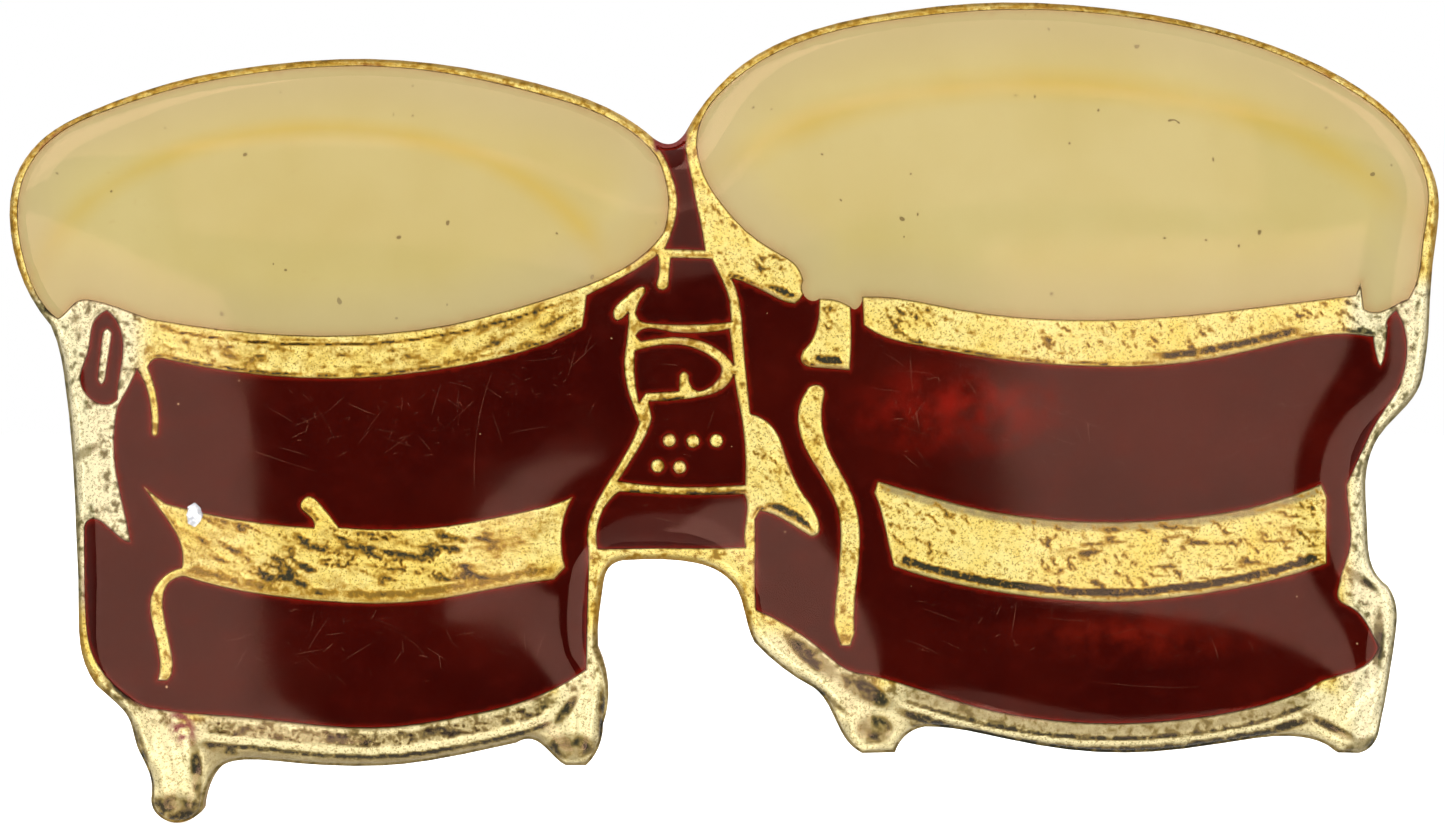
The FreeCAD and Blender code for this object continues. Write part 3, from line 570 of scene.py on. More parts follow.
def make_scratches():
    """Hairline scratches over the maroon: a few long ones, and short ones scattered in patches."""
    loops = [loop for node in MAROON_NODES for loop in flat_loops(node, ENAMEL_TOP)]
    edge = Edge(loops)
    rng = np.random.default_rng(12)
    lines = [
        ((-5.13, 0.9), (-5.62, -0.35), (-5.51, -1.95)),
        ((-11.6, -0.36), (-10.2, -0.95), (-8.98, -1.3)),
        ((5.5, 0.9), (7.0, 0.1), (9.2, -0.6)),
        ((-7.6, -4.7), (-6.9, -4.9), (-6.6, -5.4)),
        ((4.6, -3.6), (4.9, -4.2), (5.0, -4.8)),
        ((8.0, -5.9), (9.4, -6.1), (10.6, -6.05)),
    ]
    long_count = len(lines)
    patches = (  # centre, half size and number of short ones
        ((-7.6, 0.1), (2.1, 1.1), 110),
        ((-4.0, 0.2), (1.0, 1.4), 40),
        ((-8.0, -5.0), (3.8, 1.1), 60),
        ((8.4, 0.0), (4.6, 1.3), 150),
        ((8.4, -4.7), (4.2, 1.0), 60),
        ((-0.8, -1.0), (1.2, 2.2), 30),
    )
    for centre, reach, count in patches:
        for _ in range(count):
            a = np.array(centre) + (rng.random(2) * 2 - 1) * reach
            turn, length = rng.random() * math.pi, 0.12 + 0.9 * rng.random() ** 3
            way = np.array([math.cos(turn), math.sin(turn)]) * length
            lines.append((a, a + way / 2 + (rng.random(2) - 0.5) * 0.16 * length, a + way))
    points, faces = [], []
    steps, depth = 9, ENAMEL_TOP - 0.03
    share = np.linspace(0, 1, steps)[:, None]
    for number, (a, b, c) in enumerate(lines):
        line = np.array(a) * (1 - share) ** 2 + 2 * np.array(b) * share * (1 - share)
        line = line + np.array(c) * share**2
        clear = 0.02 if number < long_count else 0.12
        if not np.all(inside(loops, line)) or edge.near(line)[0].min() < clear:
            continue
        along = np.gradient(line, axis=0)
        along /= np.hypot(along[:, 0], along[:, 1])[:, None]
        half = (0.004 + 0.005 * rng.random()) * np.sin(math.pi * (0.06 + 0.88 * share))
        side = np.stack([-along[:, 1], along[:, 0]], axis=1) * half
        for k in range(len(points), len(points) + steps - 1):
            faces.append((k, k + 1, k + 1 + steps, k + steps))
        points += [*deep(line - side, depth), *deep(line + side, depth)]
    return solid("scratches", points, faces, 60)


def make_chip():
    """A crumb of pale enamel caught under the resin at the end of the left band."""
    rings, around, middle = 5, 8, (-11.7, -1.47, -2.26)
    points, faces = [], []
    for k in range(rings):
        tip = math.pi * (k + 0.5) / rings
        for i in range(around):
            turn = 2 * math.pi * i / around
            size = 0.2 * (0.55 + 0.75 * lattice(np.array(k), np.array(i), 77))
            x, z = math.sin(tip) * math.cos(turn), math.sin(tip) * math.sin(turn)
            points.append((x * size, -0.35 * math.cos(tip) * size, z * size * 1.15))
    rows = np.arange(rings * around).reshape(rings, around)
    for above, below in zip(rows, rows[1:]):
        faces += joined(above, below)
    faces += [rows[0][::-1], rows[-1]]
    return solid("enamel_chip", np.array(points) + middle, faces, 20)


def membrane(step=0.1, settle=2.2, rounds=700):
    """Height, up to 1, of a liquid skin held at the plate's outline: low corner, step and grid."""
    low = OUTLINE.min(0) - 0.5
    size = np.ceil((OUTLINE.max(0) + 0.5 - low) / step).astype(int) + 1
    xs = low[0] + step * np.arange(size[0])
    wet = np.zeros((size[0], size[1]), bool)
    for j in range(size[1]):
        wet[:, j] = np.searchsorted(crossings([OUTLINE], low[1] + step * j), xs) % 2 == 1
    i, j = np.meshgrid(np.arange(size[0]), np.arange(size[1]), indexing="ij")
    sets = [wet & ((i + j) % 2 == k) for k in (0, 1)]
    h = np.zeros(wet.shape)
    middle, hurry = 4 + (step / settle) ** 2, 1.85
    for _ in range(rounds):
        for part in sets:
            around = np.zeros_like(h)
            around[1:-1, 1:-1] = h[2:, 1:-1] + h[:-2, 1:-1] + h[1:-1, 2:] + h[1:-1, :-2]
            aim = (around + step * step) / middle
            h[part] += hurry * (aim[part] - h[part])
    return low, step, h / h.max()


def sampled(skin, xz):
    """A grid's value at each point, smoothly between its four neighbours."""
    low, step, h = skin
    at = np.clip((xz - low) / step, 0, np.array(h.shape) - 2.001)
    i, j = at.astype(int).T
    u, v = (at - np.floor(at)).T
    below = h[i, j] * (1 - u) * (1 - v) + h[i + 1, j] * u * (1 - v)
    return below + h[i, j + 1] * (1 - u) * v + h[i + 1, j + 1] * u * v


def make_dome():
    inset, pull = 0.05, 0.6  # the foot's distance from the outline, and the edge curve's reach
    rise_most, bead_high, bead_wide = 0.8, 0.34, 0.42
    foot, under = -1.12, -1.08
    loop = spaced(plate_loops[0], 0.12)
    body = grid_points([loop], 0.15, 0.0, 1)
    body = body[rim_edge.near(body)[0] > 0.07]
    left = leftward(loop)
    inward = sideways(loop) * (1 if left else -1)
    base = loop + inward * inset
    extra = np.concatenate([base + inward * 0.025, base + inward * 0.06])
    extra = extra[inside([base], extra)]
    extra = extra[rim_edge.near(extra)[0] > 0.06]
    skin = membrane()

    def top(xz):
        d, to = rim_edge.near(xz)
        d = np.maximum(d - inset, 0)
        deepened = xz - to * np.clip(pull - d, 0, pull)[:, None]
        rise = rise_most * sampled(skin, deepened) * np.clip(d / pull, 0, 1)
        return foot - bead_high * np.sqrt(1 - (1 - np.clip(d / bead_wide, 0, 1)) ** 2) - rise

    points, faces = poured([base], np.concatenate([extra, body]), top, under, not left)
    return solid("resin_dome", points, faces, 70)


# ---- posts and clutches

POSTS = {"left": -8.5, "right": 8.5}
CLOTH = 2.0  # the clutches' cloth side


def filleted(corners, steps=5):
    """A closed profile with each corner (across, along, fillet) rounded."""
    out = []
    for k, (across, along, size) in enumerate(corners):
        at = np.array((across, along), float)
        if not size:
            out.append(at)
            continue
        for near in (corners[k - 1], corners[(k + 1) % len(corners)]):
            way = np.array(near[:2]) - at
            out.append(at + way / np.hypot(*way) * size)
        start, end = out.pop(-2), out.pop()
        for share in np.linspace(0, 1, steps + 1):
            out.append(start * (1 - share) ** 2 + 2 * at * share * (1 - share) + end * share**2)
    return np.array(out)


def ring_points(x, radius, depth, turn):
    """Points about a post's axis from radii, depths and angles."""
    return np.stack([x + radius * np.cos(turn), depth, radius * np.sin(turn)], axis=2).reshape(-1, 3)


def lathe(name, x, profile, push=None, steps=96, sharp=40):
    """A solid turned about a post's axis from a closed profile of (radius, depth)."""
    turn = np.linspace(0, 2 * math.pi, steps, endpoint=False)[None]
    radius, depth = profile[:, :1] + 0 * turn, profile[:, 1:] + 0 * turn
    if push:
        radius, depth = push(radius, depth, turn)
    rows = np.arange(len(profile) * steps).reshape(-1, steps)
    faces = []
    for above, below in zip(rows, np.roll(rows, -1, axis=0)):
        faces += joined(above, below)
    return solid(name, ring_points(x, radius, depth, turn), faces, sharp, None, True)


def make_post(side, x, seed):
    corners = [(0.02, 0, 0), (1.1, 0, 0.05), (1.1, 0.3, 0.08), (0.7, 0.3, 0.12)]
    for k in range(4):  # fine rings cut in the shank
        y = 0.62 + 0.28 * k
        corners += [(0.7, y, 0.015), (0.66, y + 0.05, 0.01)]
        corners += [(0.66, y + 0.09, 0.01), (0.7, y + 0.14, 0.015)]
    corners += [(0.7, 1.9, 0.05), (0.5, 1.9, 0.06), (0.5, 6.05, 0.05), (0.42, 6.2, 0.04)]
    corners += [(0.42, 6.45, 0.04), (0.5, 6.6, 0.05), (0.5, 6.9, 0.12), (0.06, 7.93, 0.04), (0.02, 7.98, 0)]

    def push(radius, depth, turn):
        dent = layered(turn * 2.5 + 0 * depth, depth * 1.7, seed)
        return radius * (1 + 0.012 * dent * (depth > 0.32)), depth

    return lathe("pin_post_" + side, x, filleted(corners), push, 48)


def make_solder(side, x, seed):
    profile = [(0.72, 0.0), (1.74, 0.0), (1.68, 0.035), (1.5, 0.06), (1.35, 0.1)]
    profile += [(1.24, 0.16), (1.14, 0.21), (1.05, 0.22), (0.9, 0.2), (0.72, 0.2)]

    def push(radius, depth, turn):
        wave = layered(2.2 * np.cos(turn) + 0 * depth, 2.2 * np.sin(turn) + 0 * depth, seed)
        out = np.clip((radius - 1.1) / 0.6, 0, 1)
        return radius - 0.14 * out * (0.9 - wave), depth * (0.93 + 0.1 * wave)

    return lathe("solder_blob_" + side, x, np.array(profile), push, 96)


def make_disc(side, x, seed):
    under = [(r, 0.0) for r in np.arange(0.95, 5.0, 0.09)]
    over = [(r, 0.4) for r in np.arange(4.75, 1.0, -0.09)]
    ends = [(4.95, 0, 0), (5.3, 0, 0.14), (5.3, 0.7, 0.12), (4.95, 0.7, 0.12)]
    ends = filleted(ends + [(4.95, 0.4, 0.1), (4.8, 0.4, 0)])
    hole = filleted([(1.0, 0.4, 0), (0.75, 0.4, 0.08), (0.75, 0, 0.08), (0.95, 0, 0)])
    profile = np.concatenate([under, ends[1:-1], over, hole[1:-1]])

    def push(radius, depth, turn):
        off = np.mod(turn + math.pi / 6, math.pi / 3) - math.pi / 6
        reach = np.sqrt(radius**2 + 4.1**2 - 2 * radius * 4.1 * np.cos(off))
        dimple = smooth((0.5 - reach) / 0.22)
        groove = np.exp(-(((radius - 2.6) / 0.14) ** 2)) + np.exp(-(((radius - 1.5) / 0.1) ** 2))
        flat = (radius < 4.9) & (depth < 0.41)
        rings = 0.006 * np.sin(radius * 42 + 0.4 * np.sin(3 * turn + seed))
        bend = 0.012 * layered(x + radius * np.cos(turn), radius * np.sin(turn), seed)
        lift = np.where(depth < 0.2, 0.17 * dimple + 0.06 * groove + rings, 0.12 * dimple + rings)
        return radius, CLOTH + depth + flat * (lift + np.clip(bend, 0, 1))

    return lathe("stamped_disc_" + side, x, profile, push, 180, 35)


# the housing's outside and inside, from its flange to the hole in its top
SHELL_OUT = (
    (3.8, 0.62), (3.74, 0.65), (3.45, 0.65), (3.35, 0.7),
    (3.3, 0.8), (3.3, 1.2), (3.3, 1.45), (3.3, 1.6),
    (3.3, 2.1), (3.3, 2.6), (3.3, 3.1), (3.28, 3.3),
    (3.22, 3.44), (3.12, 3.54), (2.98, 3.6), (2.75, 3.6),
    (2.4, 3.6), (2.32, 3.54), (2.1, 3.54), (2.02, 3.6),
    (1.5, 3.6), (1.1, 3.6), (0.95, 3.58), (0.86, 3.52),
)
SHELL_IN = (
    (3.8, 0.43), (3.74, 0.4), (3.35, 0.4), (3.15, 0.42),
    (3.0, 0.52), (3.0, 1.2), (3.0, 1.45), (3.0, 1.6),
    (3.0, 2.1), (3.0, 2.6), (3.0, 3.1), (2.99, 3.18), (2.96, 3.25), (2.9, 3.3), (2.84, 3.3), (2.7, 3.3),
    (2.4, 3.3), (2.32, 3.24), (2.1, 3.24), (2.02, 3.3),
    (1.5, 3.3), (1.1, 3.3), (0.95, 3.31), (0.86, 3.34),
)


def make_housing(side, x, seed):
    steps, first, last = 120, 7, 10  # around, and the windows' place in the profile
    turn = np.linspace(0, 2 * math.pi, steps, endpoint=False)[None]
    grids = []
    for profile in (SHELL_OUT, SHELL_IN):
        r, y = np.array(profile)[:, :1] + 0 * turn, np.array(profile)[:, 1:] + 0 * turn
        dent = 0.02 * np.clip(layered(turn * 3 + 0 * y, y * 1.5, seed), 0, 1) * (y > 0.9) * (r > 2.9)
        grids.append(ring_points(x, r - dent, CLOTH + y, turn))
    cells = set()
    for i in range(len(SHELL_OUT) - 1):
        for k in range(steps):
            angle = (k + 0.5) * 360 / steps % 180
            if not (first <= i < last and 63 < angle < 117):
                cells.add((i, k))
    faces, half = [], len(SHELL_OUT) * steps

    def spot(i, k):
        return i * steps + k % steps

    for i, k in sorted(cells):
        ring = [spot(i, k), spot(i, k + 1), spot(i + 1, k + 1), spot(i + 1, k)]
        faces += [tuple(ring), tuple(half + p for p in ring[::-1])]
        beside = ((i - 1, k), (i, (k + 1) % steps), (i + 1, k), (i, (k - 1) % steps))
        for n, other in enumerate(beside):
            if other not in cells:
                a, b = ring[n], ring[(n + 1) % 4]
                faces.append((b, a, half + a, half + b))
    return solid("stamped_housing_" + side, np.concatenate(grids), faces, 40, None, True)


# one wing's outline along the post, for half its width: jaw, then the finger lobe
WING_HALF = [(1.3, 0.12), (1.3, 3.5), (1.33, 3.9), (1.6, 4.08), (2.2, 4.35), (2.85, 4.75)]
WING_HALF += [(3.15, 5.2), (3.2, 5.7), (3.0, 6.2), (2.5, 6.57), (1.8, 6.75), (0.9, 6.86), (0, 6.88)]


def make_wing(side, name, x, way):
    notch = [(0.6 * math.cos(a), 0.6 * math.sin(a)) for a in np.linspace(math.pi - 0.2, 0.2, 12)]
    loop = spaced(np.array(WING_HALF + [(-u, v) for u, v in WING_HALF[-2::-1]] + notch), 0.05)
    for _ in range(14):
        loop = (np.roll(loop, 1, axis=0) + 2 * loop + np.roll(loop, -1, axis=0)) / 4
    loop = loop[::2]
    body = grid_points([loop], 0.13, 0.1, 5)
    edge = Edge([loop])
    body = body[edge.near(body)[0] > 0.05]
    xz, tri, within, count = triangles([loop], body)
    u, v = xz[:, 0], xz[:, 1]
    d, _ = edge.near(xz)
    # a gentle elbow, a rib down the middle, finger ridges, and a rounded sheet edge
    slope_in, slope_out, elbow, bend = 0.75 / 3.03, 3.8 / 3.75, 3.15, 0.18
    y = 2.0 + slope_in * (v - elbow)
    y = y + (slope_out - slope_in) * bend * np.logaddexp(0, (v - elbow) / bend)
    rib = smooth((0.42 - np.abs(u)) / 0.2) * smooth((v - 1.1) / 0.4) * smooth((4.3 - v) / 0.5)
    ridge = sum(np.exp(-(((v - at) / 0.1) ** 2)) for at in (4.95, 5.35, 5.75, 6.15))
    ridge = ridge * smooth((d - 0.3) / 0.25) * smooth((v - 4.5) / 0.3)
    soft = 0.07 * smooth((0.1 - d) / 0.1)
    thick = 0.4
    low = CLOTH + y + soft + 0.02 + 0.05 * rib + 0.04 * ridge
    high = CLOTH + y + thick - soft + 0.045 * rib + 0.045 * ridge
    n = len(xz)
    points = np.concatenate([deep(xz, high), deep(xz, low)])
    faces = [*tri[within], *(tri[within][:, ::-1] + n)]
    faces += joined(np.arange(count), n + np.arange(count), True)
    points = points * (1, 1, way) + (x, 0, 0)
    return solid("sheet_wing_%s_%s" % (name, side), points, faces, 50, None, True)


def make_coil(side, name, x, first):
    """The half of the two-turn coil that one wing presses on, from the turn's angle first."""
    radius, wire, low, rise, around, along = 1.3, 0.12, 0.52, 0.54, 14, 41
    points, faces = [], []
    for start in (first, first + 2 * math.pi):
        rows = len(points) + np.arange(along * around).reshape(along, around)
        for a in np.linspace(start, start + math.pi, along):
            share = a / (4 * math.pi)
            w = wire * min(1, 0.25 + 60 * min(share, 1 - share))
            for b in np.linspace(0, 2 * math.pi, around, endpoint=False):
                r, y = radius + w * math.cos(b), CLOTH + low + rise * share + w * math.sin(b)
                points.append((x + r * math.cos(a), y, r * math.sin(a)))
        for above, below in zip(rows, rows[1:]):
            faces += joined(above, below)
        faces += [rows[0], rows[-1]]
    return solid("coil_%s_%s" % (name, side), points, faces, 60, None, True)


# ---- materials


def rgb(r, g, b):
    """A colour given as it shows on a screen, 0 to 255, made linear."""
    shares = [c / 255 for c in (r, g, b)]
    return (*(((c + 0.055) / 1.055) ** 2.4 if c > 0.04 else c / 12.92 for c in shares), 1.0)


class Tree:
    """A material's node tree, built one node at a time."""

    def __init__(self, name):
        self.material = bpy.data.materials.new(name)
        self.material.use_nodes = True
        self.nodes = self.material.node_tree.nodes
        self.links = self.material.node_tree.links
        self.nodes.clear()
        self.out = self.nodes.new("ShaderNodeOutputMaterial")
        spot = self.nodes.new("ShaderNodeTexCoord").outputs["Object"]
        inputs = {0: spot, "Scale": 1 / MM}
        self.mm = self.add("ShaderNodeVectorMath", inputs, operation="SCALE").outputs[0]

    def add(self, kind, inputs=None, **facts):
        node = self.nodes.new(kind)
        for key, value in facts.items():
            setattr(node, key, value)
        for key, value in (inputs or {}).items():
            if isinstance(value, bpy.types.NodeSocket):
                self.links.new(value, node.inputs[key])
            else:
                node.inputs[key].default_value = value
        return node

    def noise(self, scale, detail=3.0, stretch=None, rough=0.55, distort=0.0):
        at = self.mm
        if stretch:
            at = self.add("ShaderNodeMapping", {0: at, "Scale": stretch}).outputs[0]
        inputs = {"Vector": at, "Scale": scale, "Detail": detail, "Roughness": rough, "Distortion": distort}
        return self.add("ShaderNodeTexNoise", inputs).outputs["Fac"]

    def ramp(self, value, low, high, to_low=0.0, to_high=1.0):
        inputs = {"Value": value, "From Min": low, "From Max": high, "To Min": to_low, "To Max": to_high}
        return self.add("ShaderNodeMapRange", inputs, clamp=True).outputs[0]

    def math(self, operation, a, b=0.5):
        return self.add("ShaderNodeMath", {0: a, 1: b}, operation=operation).outputs[0]

    def mix(self, share, a, b):
        return self.add("ShaderNodeMix", {0: share, 6: a, 7: b}, data_type="RGBA").outputs[2]

    def reach(self, centre, size):
        """The distance from a place, counted in half sizes along each axis."""
        off = self.mm
        for operation, by in (("SUBTRACT", centre), ("DIVIDE", size)):
            off = self.add("ShaderNodeVectorMath", {0: off, 1: by}, operation=operation).outputs[0]
        return self.add("ShaderNodeVectorMath", {0: off}, operation="LENGTH").outputs["Value"]

    def mask(self, name):
        return self.add("ShaderNodeAttribute", attribute_name=name).outputs["Fac"]

    def bump(self, height, strength, distance, after=None):
        inputs = {"Height": height, "Strength": strength, "Distance": distance * MM}
        if after is not None:
            inputs["Normal"] = after
        return self.add("ShaderNodeBump", inputs).outputs[0]

    def principled(self, **inputs):
        names = {key.replace("_", " "): value for key, value in inputs.items()}
        return self.add("ShaderNodeBsdfPrincipled", names)

    def done(self, shader):
        self.links.new(shader.outputs[0], self.out.inputs["Surface"])
        return self.material


def gold_plating():
    t = Tree("struck gold plating")
    cloud = t.noise(1.1, 4)
    grain = t.noise(11.0, 5, None, 0.7)
    bright = t.mix(t.ramp(cloud, 0.35, 0.65), rgb(244, 224, 140), rgb(238, 208, 104))
    bright = t.mix(t.ramp(grain, 0.53, 0.58, 0, 0.5), bright, rgb(222, 180, 60))
    bright = t.mix(t.ramp(grain, 0.6, 0.64, 0, 0.8), bright, rgb(112, 80, 20))
    fair = t.mix(t.ramp(grain, 0.52, 0.66), rgb(244, 230, 184), rgb(164, 146, 96))
    fleck = t.ramp(t.noise(21.0, 2, None, 0.6), 0.56, 0.64, 0, 0.75)
    bright = t.mix(fleck, bright, rgb(146, 106, 28))
    fair = t.mix(fleck, fair, rgb(150, 126, 76))
    colour = t.mix(t.mask("pale"), bright, fair)
    # tan mask: painted shade, dulling the gold on shoulders, lips, rims and shaded facets
    tan = t.math("MULTIPLY", t.mask("tan"), t.ramp(t.noise(5.0), 0.3, 0.6, 0.7, 1.0))
    colour = t.mix(tan, colour, rgb(150, 130, 84))
    # dark mask: painted shade in hollows, creases, pits, under edges and on the rim, ochre at first and near
    # black where deepest
    broken = t.math("MULTIPLY", t.mask("dark"), t.ramp(t.noise(9.0, 3), 0.3, 0.5, 0.5, 1.0))
    wear_and_shade = t.mix(t.mask("pale"), rgb(168, 124, 24), rgb(118, 106, 62))
    colour = t.mix(t.ramp(broken, 0.0, 0.45), colour, wear_and_shade)
    colour = t.mix(t.ramp(broken, 0.4, 0.85), colour, rgb(42, 38, 16))
    colour = t.mix(t.mask("stain"), colour, rgb(110, 22, 10))
    coarse = t.ramp(t.noise(4.0, 4), 0.3, 0.7, 0.28, 0.4)
    coarse = t.math("ADD", coarse, t.math("MULTIPLY", t.mask("dark"), 0.2))
    metal = t.ramp(t.mask("stain"), 0.2, 0.7, 0.62, 0.0)
    normal = t.bump(grain, 0.4, 0.02)
    normal = t.bump(t.noise(5.0, 4), 0.3, 0.03, normal)
    shader = t.principled(Base_Color=colour, Metallic=metal, Roughness=coarse, Normal=normal)
    return t.done(shader)


def cream_enamel():
    t = Tree("cream enamel")
    cloud = t.noise(0.25, 3)
    base = t.mix(t.ramp(cloud, 0.35, 0.65), rgb(174, 157, 104), rgb(168, 150, 93))
    # painted shade: a darker arc across the upper part of each head
    for centre, size in (((-8.9, 0, 2.0), (6.6, 99, 4.3)), ((7.0, 0, 1.0), (9.9, 99, 6.3))):
        off = t.math("ABSOLUTE", t.math("SUBTRACT", t.reach(centre, size), 1.0))
        arc = t.math("MULTIPLY", t.ramp(off, 0.0, 0.075, 0.8, 0.0), t.ramp(cloud, 0.4, 0.55, 0.6, 1.0))
        base = t.mix(arc, base, rgb(172, 146, 68))
    grain = t.noise(11.0, 4)
    base = t.mix(t.ramp(grain, 0.62, 0.72, 0, 0.35), base, rgb(160, 134, 84))
    speck = t.noise(5.0, 0)
    base = t.mix(t.ramp(speck, 0.868, 0.88, 0, 0.8), base, rgb(96, 76, 44))
    base = t.mix(t.ramp(t.mask("near"), 0.1, 1.0, 0.0, 0.5), base, rgb(160, 144, 106))
    base = t.mix(t.math("MULTIPLY", t.mask("edge"), 0.5), base, rgb(150, 108, 66))
    rough = t.ramp(t.noise(3.0, 3), 0.3, 0.7, 0.3, 0.42)
    normal = t.bump(grain, 0.15, 0.004)
    shader = t.principled(Base_Color=base, Roughness=rough, Normal=normal)
    shader.inputs["Specular IOR Level"].default_value = 0.05
    return t.done(shader)


def maroon_enamel():
    t = Tree("maroon enamel")
    cloud = t.noise(0.32, 4)
    base = t.mix(t.ramp(cloud, 0.38, 0.66), rgb(44, 3, 1), rgb(56, 6, 2))
    drift = t.noise(1.4, 4, (1.0, 1.0, 1.6))
    base = t.mix(t.ramp(drift, 0.52, 0.8, 0, 0.35), base, rgb(72, 12, 6))
    broken = t.ramp(t.noise(1.6, 5), 0.4, 0.62, 0.15, 1.0)
    # painted light: two patches where the enamel glows a brighter red
    for centre, size, red in (((5.2, -1.2, 0.1), (2.9, 9, 1.2), 112), ((9.2, -1.2, -4.9), (3.4, 9, 0.8), 88)):
        spot = t.ramp(t.reach(centre, size), 0.1, 1.0, 1.0, 0.0)
        base = t.mix(t.math("MULTIPLY", spot, broken), base, rgb(red, 15, 6))
    base = t.mix(t.math("MULTIPLY", t.ramp(t.mask("edge"), 0.45, 1.0), 0.4), base, rgb(140, 24, 10))
    speck = t.noise(7.5, 0)
    base = t.mix(t.ramp(speck, 0.88, 0.89), base, rgb(190, 150, 110))
    rough = t.ramp(t.noise(2.5, 3), 0.3, 0.7, 0.25, 0.4)
    normal = t.bump(t.noise(7.0, 3), 0.2, 0.006)
    shader = t.principled(Base_Color=base, Roughness=rough, Normal=normal)
    shader.inputs["Specular IOR Level"].default_value = 0.01
    return t.done(shader)


def clear_resin():
    t = Tree("clear resin")
    wave = t.bump(t.noise(0.2, 0), 0.2, 0.06)
    rough = t.ramp(t.noise(0.8, 4), 0.4, 0.75, 0.06, 0.12)
    glass = t.principled(Base_Color=(1, 0.995, 0.98, 1), Roughness=rough, Normal=wave)
    glass.inputs["Transmission Weight"].default_value = 1.0
    glass.inputs["IOR"].default_value = 1.5
    glass.inputs["Specular Tint"].default_value = (1.0, 0.5, 0.38, 1.0)
    clear = t.add("ShaderNodeBsdfTransparent")
    path = t.add("ShaderNodeLightPath").outputs["Is Camera Ray"]
    both = t.add("ShaderNodeMixShader", {0: path, 1: clear.outputs[0], 2: glass.outputs[0]})
    return t.done(both)


def scratch_marks():
    t = Tree("scratches")
    colour = t.mix(t.ramp(t.noise(2.0), 0.4, 0.6), rgb(170, 100, 72), rgb(120, 58, 40))
    faint = t.ramp(t.noise(0.7, 3), 0.35, 0.65, 0.08, 0.34)
    return t.done(t.principled(Base_Color=colour, Alpha=faint, Roughness=0.5))


def white_chip():
    t = Tree("white chip")
    colour = t.mix(t.ramp(t.noise(6.0, 4), 0.4, 0.6), rgb(236, 238, 242), rgb(168, 172, 178))
    normal = t.bump(t.noise(9.0, 3), 0.5, 0.03)
    return t.done(t.principled(Base_Color=colour, Roughness=0.5, Normal=normal))


def plated_metal(name, light, mid, dark, rough_low, rough_high, grain=8.0, depth=0.012):
    """Plated or bare sheet metal with stains, fine grain and scratches."""
    t = Tree(name)
    cloud = t.noise(0.9, 4)
    colour = t.mix(t.ramp(cloud, 0.35, 0.68), light, mid)
    stain = t.noise(3.5, 5, None, 0.65, 0.4)
    colour = t.mix(t.ramp(stain, 0.6, 0.78, 0, 0.55), colour, dark)
    scratch = t.noise(4.0, 2, (1.0, 1.0, 9.0), 0.4, 0.3)
    rough = t.ramp(cloud, 0.3, 0.7, rough_low, rough_high)
    rough = t.math("ADD", rough, t.ramp(scratch, 0.6, 0.7, 0, 0.12))
    normal = t.bump(t.noise(grain, 3), 0.3, depth)
    normal = t.bump(scratch, 0.2, depth * 0.5, normal)
    return t.done(t.principled(Base_Color=colour, Metallic=1.0, Roughness=rough, Normal=normal))


GOLD = gold_plating()
CREAM = cream_enamel()
MAROON = maroon_enamel()
RESIN = clear_resin()
POST = plated_metal("gilt post", rgb(240, 205, 120), rgb(214, 174, 88), rgb(120, 84, 34), 0.18, 0.3)
SOLDER = plated_metal("solder", rgb(196, 194, 188), rgb(160, 158, 154), rgb(96, 92, 88), 0.3, 0.5, 3.0, 0.05)
BRASS = plated_metal("clutch brass", rgb(246, 216, 136), rgb(224, 186, 100), rgb(140, 100, 44), 0.16, 0.3)
SPRING = plated_metal("spring steel", rgb(205, 205, 208), rgb(170, 170, 174), rgb(100, 98, 96), 0.18, 0.32)


def place(piece, body, node, material):
    """Paints a piece and puts it on its body, in place of a CAD node if one is named."""
    piece.data.materials.append(material)
    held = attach(piece, body)
    if node:
        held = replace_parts(held, node)


# ---- build

ENAMEL_NODES = [name for name in sorted(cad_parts) if name.startswith("enamel_")]
MAROON_NODES = [name for name in ENAMEL_NODES if "head" not in name]
place(make_plate(), "badge", "base_plate", GOLD)
for node in ("enamel_head_left", "enamel_head_right"):
    place(make_enamel(node), "badge", node, CREAM)
for node in MAROON_NODES:
    fill = make_enamel(node, 0.16 if "shell" in node else 0.1)
    place(fill, "badge", node, MAROON)
place(make_scratches(), "badge", None, scratch_marks())
place(make_chip(), "badge", None, white_chip())
place(make_dome(), "badge", "epoxy_dome", RESIN)
for seed, (side, x) in enumerate(POSTS.items(), start=201):
    clutch = "clutch_" + side
    place(make_post(side, x, seed), "badge", "post_" + side, POST)
    place(make_solder(side, x, seed + 10), "badge", "solder_" + side, SOLDER)
    place(make_disc(side, x, seed + 20), clutch, "clutch_disc_" + side, BRASS)
    place(make_housing(side, x, seed + 30), clutch, "clutch_housing_" + side, BRASS)
    for name, way in (("upper", 1), ("lower", -1)):
        wing = "wing_%s_%s" % (name, side)
        place(make_wing(side, name, x, way), wing, wing, BRASS)
        coil = make_coil(side, name, x, 0 if way == 1 else math.pi)
        place(coil, clutch, "grip_spring_" + side, SPRING)
        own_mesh(coil)

# ---- stage, lights and camera


def stage_floor():
    mesh = bpy.data.meshes.new("floor")
    reach, level = 3.0, cad_low.z - 0.02 * MM
    corners = [(x * reach, y * reach, level) for x, y in ((-1, -1), (1, -1), (1, 1), (-1, 1))]
    mesh.from_pydata(corners, [], [(0, 1, 2, 3)])
    floor = bpy.data.objects.new("floor", mesh)
    bpy.context.scene.collection.objects.link(floor)
    t = Tree("pale floor")
    colour = t.mix(t.ramp(t.noise(0.02, 2), 0.3, 0.7), (0.9, 0.9, 0.9, 1), (0.87, 0.87, 0.87, 1))
    glow = {"Emission_Color": (1, 1, 1, 1), "Emission_Strength": 0.85}
    mesh.materials.append(t.done(t.principled(Base_Color=colour, Roughness=0.7, **glow)))
    floor.visible_glossy = False


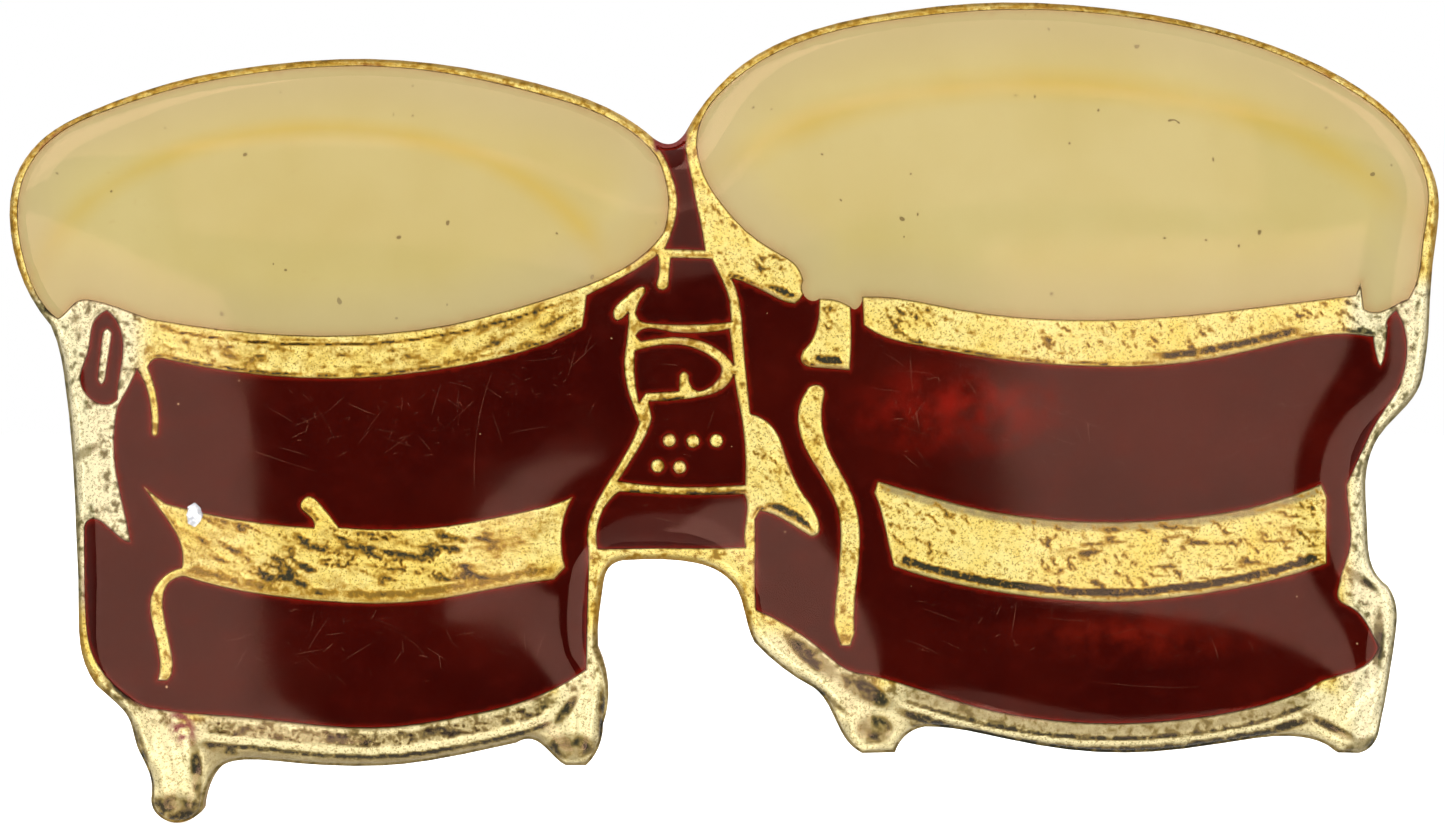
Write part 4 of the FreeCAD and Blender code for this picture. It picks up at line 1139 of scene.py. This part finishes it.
def panel(name, azimuth, elevation, width, height, radiance, distance=0.5):
    """A soft box that looks at the pin, which sees it at these angles and sizes, in degrees.

    Azimuth runs to the right from the camera's side.
    """
    a, e = math.radians(azimuth), math.radians(elevation)
    data = bpy.data.lights.new(name, "AREA")
    data.shape = "RECTANGLE"
    data.size = 2 * distance * math.tan(math.radians(width / 2))
    data.size_y = 2 * distance * math.tan(math.radians(height / 2))
    data.energy = radiance * math.pi * data.size * data.size_y
    light = bpy.data.objects.new(name, data)
    away = Vector((math.sin(a) * math.cos(e), -math.cos(a) * math.cos(e), math.sin(e)))
    light.location = away * distance
    light.rotation_euler = away.to_track_quat("Z", "Y").to_euler()
    light.visible_camera = False
    bpy.context.scene.collection.objects.link(light)


stage_floor()
BOXES = (  # name, azimuth, elevation, width, height, radiance
    ("left box", -32, -22, 46, 52, 2.0),
    ("left box high", -44, 36, 36, 46, 2.0),
    ("right box near", 13.5, -3, 22, 18, 1.9),
    ("right box", 48, 3, 32, 84, 2.1),
    ("top box", 0, 40, 80, 40, 1.2),
    ("top box low", 0, 15, 26, 14, 0.9),
    ("low box", 8, -48, 80, 36, 0.8),
    ("back box left", -135, 35, 50, 50, 1.5),
    ("back box right", 135, 35, 50, 50, 1.5),
)
for box in BOXES:
    panel(*box)


def surroundings():
    """Plain pale all round, but dark in a cone about -Y, as a light tent is round its opening."""
    world = bpy.data.worlds.new("pale surroundings")
    bpy.context.scene.world = world
    world.use_nodes = True
    nodes, links = world.node_tree.nodes, world.node_tree.links
    across = nodes.new("ShaderNodeVectorMath")
    across.operation = "DOT_PRODUCT"
    across.inputs[1].default_value = (0, -1, 0)
    links.new(nodes.new("ShaderNodeTexCoord").outputs["Generated"], across.inputs[0])
    shade = nodes.new("ShaderNodeMapRange")
    shade.interpolation_type = "SMOOTHSTEP"
    for socket, value in (("From Min", 0.25), ("From Max", 0.75), ("To Min", 0.4), ("To Max", 0.0)):
        shade.inputs[socket].default_value = value
    links.new(across.outputs["Value"], shade.inputs["Value"])
    seen = nodes.new("ShaderNodeMath")
    seen.operation = "MAXIMUM"
    links.new(shade.outputs[0], seen.inputs[0])
    links.new(nodes.new("ShaderNodeLightPath").outputs["Is Camera Ray"], seen.inputs[1])
    links.new(seen.outputs[0], nodes["Background"].inputs["Strength"])
    nodes["Background"].inputs["Color"].default_value = (1, 1, 1, 1)


surroundings()
bpy.context.scene.view_settings.view_transform = "Standard"

lens = bpy.data.cameras.new("camera")
camera = bpy.data.objects.new("camera", lens)
bpy.context.scene.collection.objects.link(camera)
lens.lens, lens.sensor_width = 180, 36
span = 32.11 * MM  # the width that the frame takes in at the plate's front
away = span / 2 / math.tan(math.atan(lens.sensor_width / 2 / lens.lens))
camera.location = (-0.01 * MM, FRONT * MM - away, -0.03 * MM)
camera.rotation_euler = (math.pi / 2, 0, 0)
lens.clip_start, lens.clip_end = 0.005, 20
bpy.context.scene.camera = camera
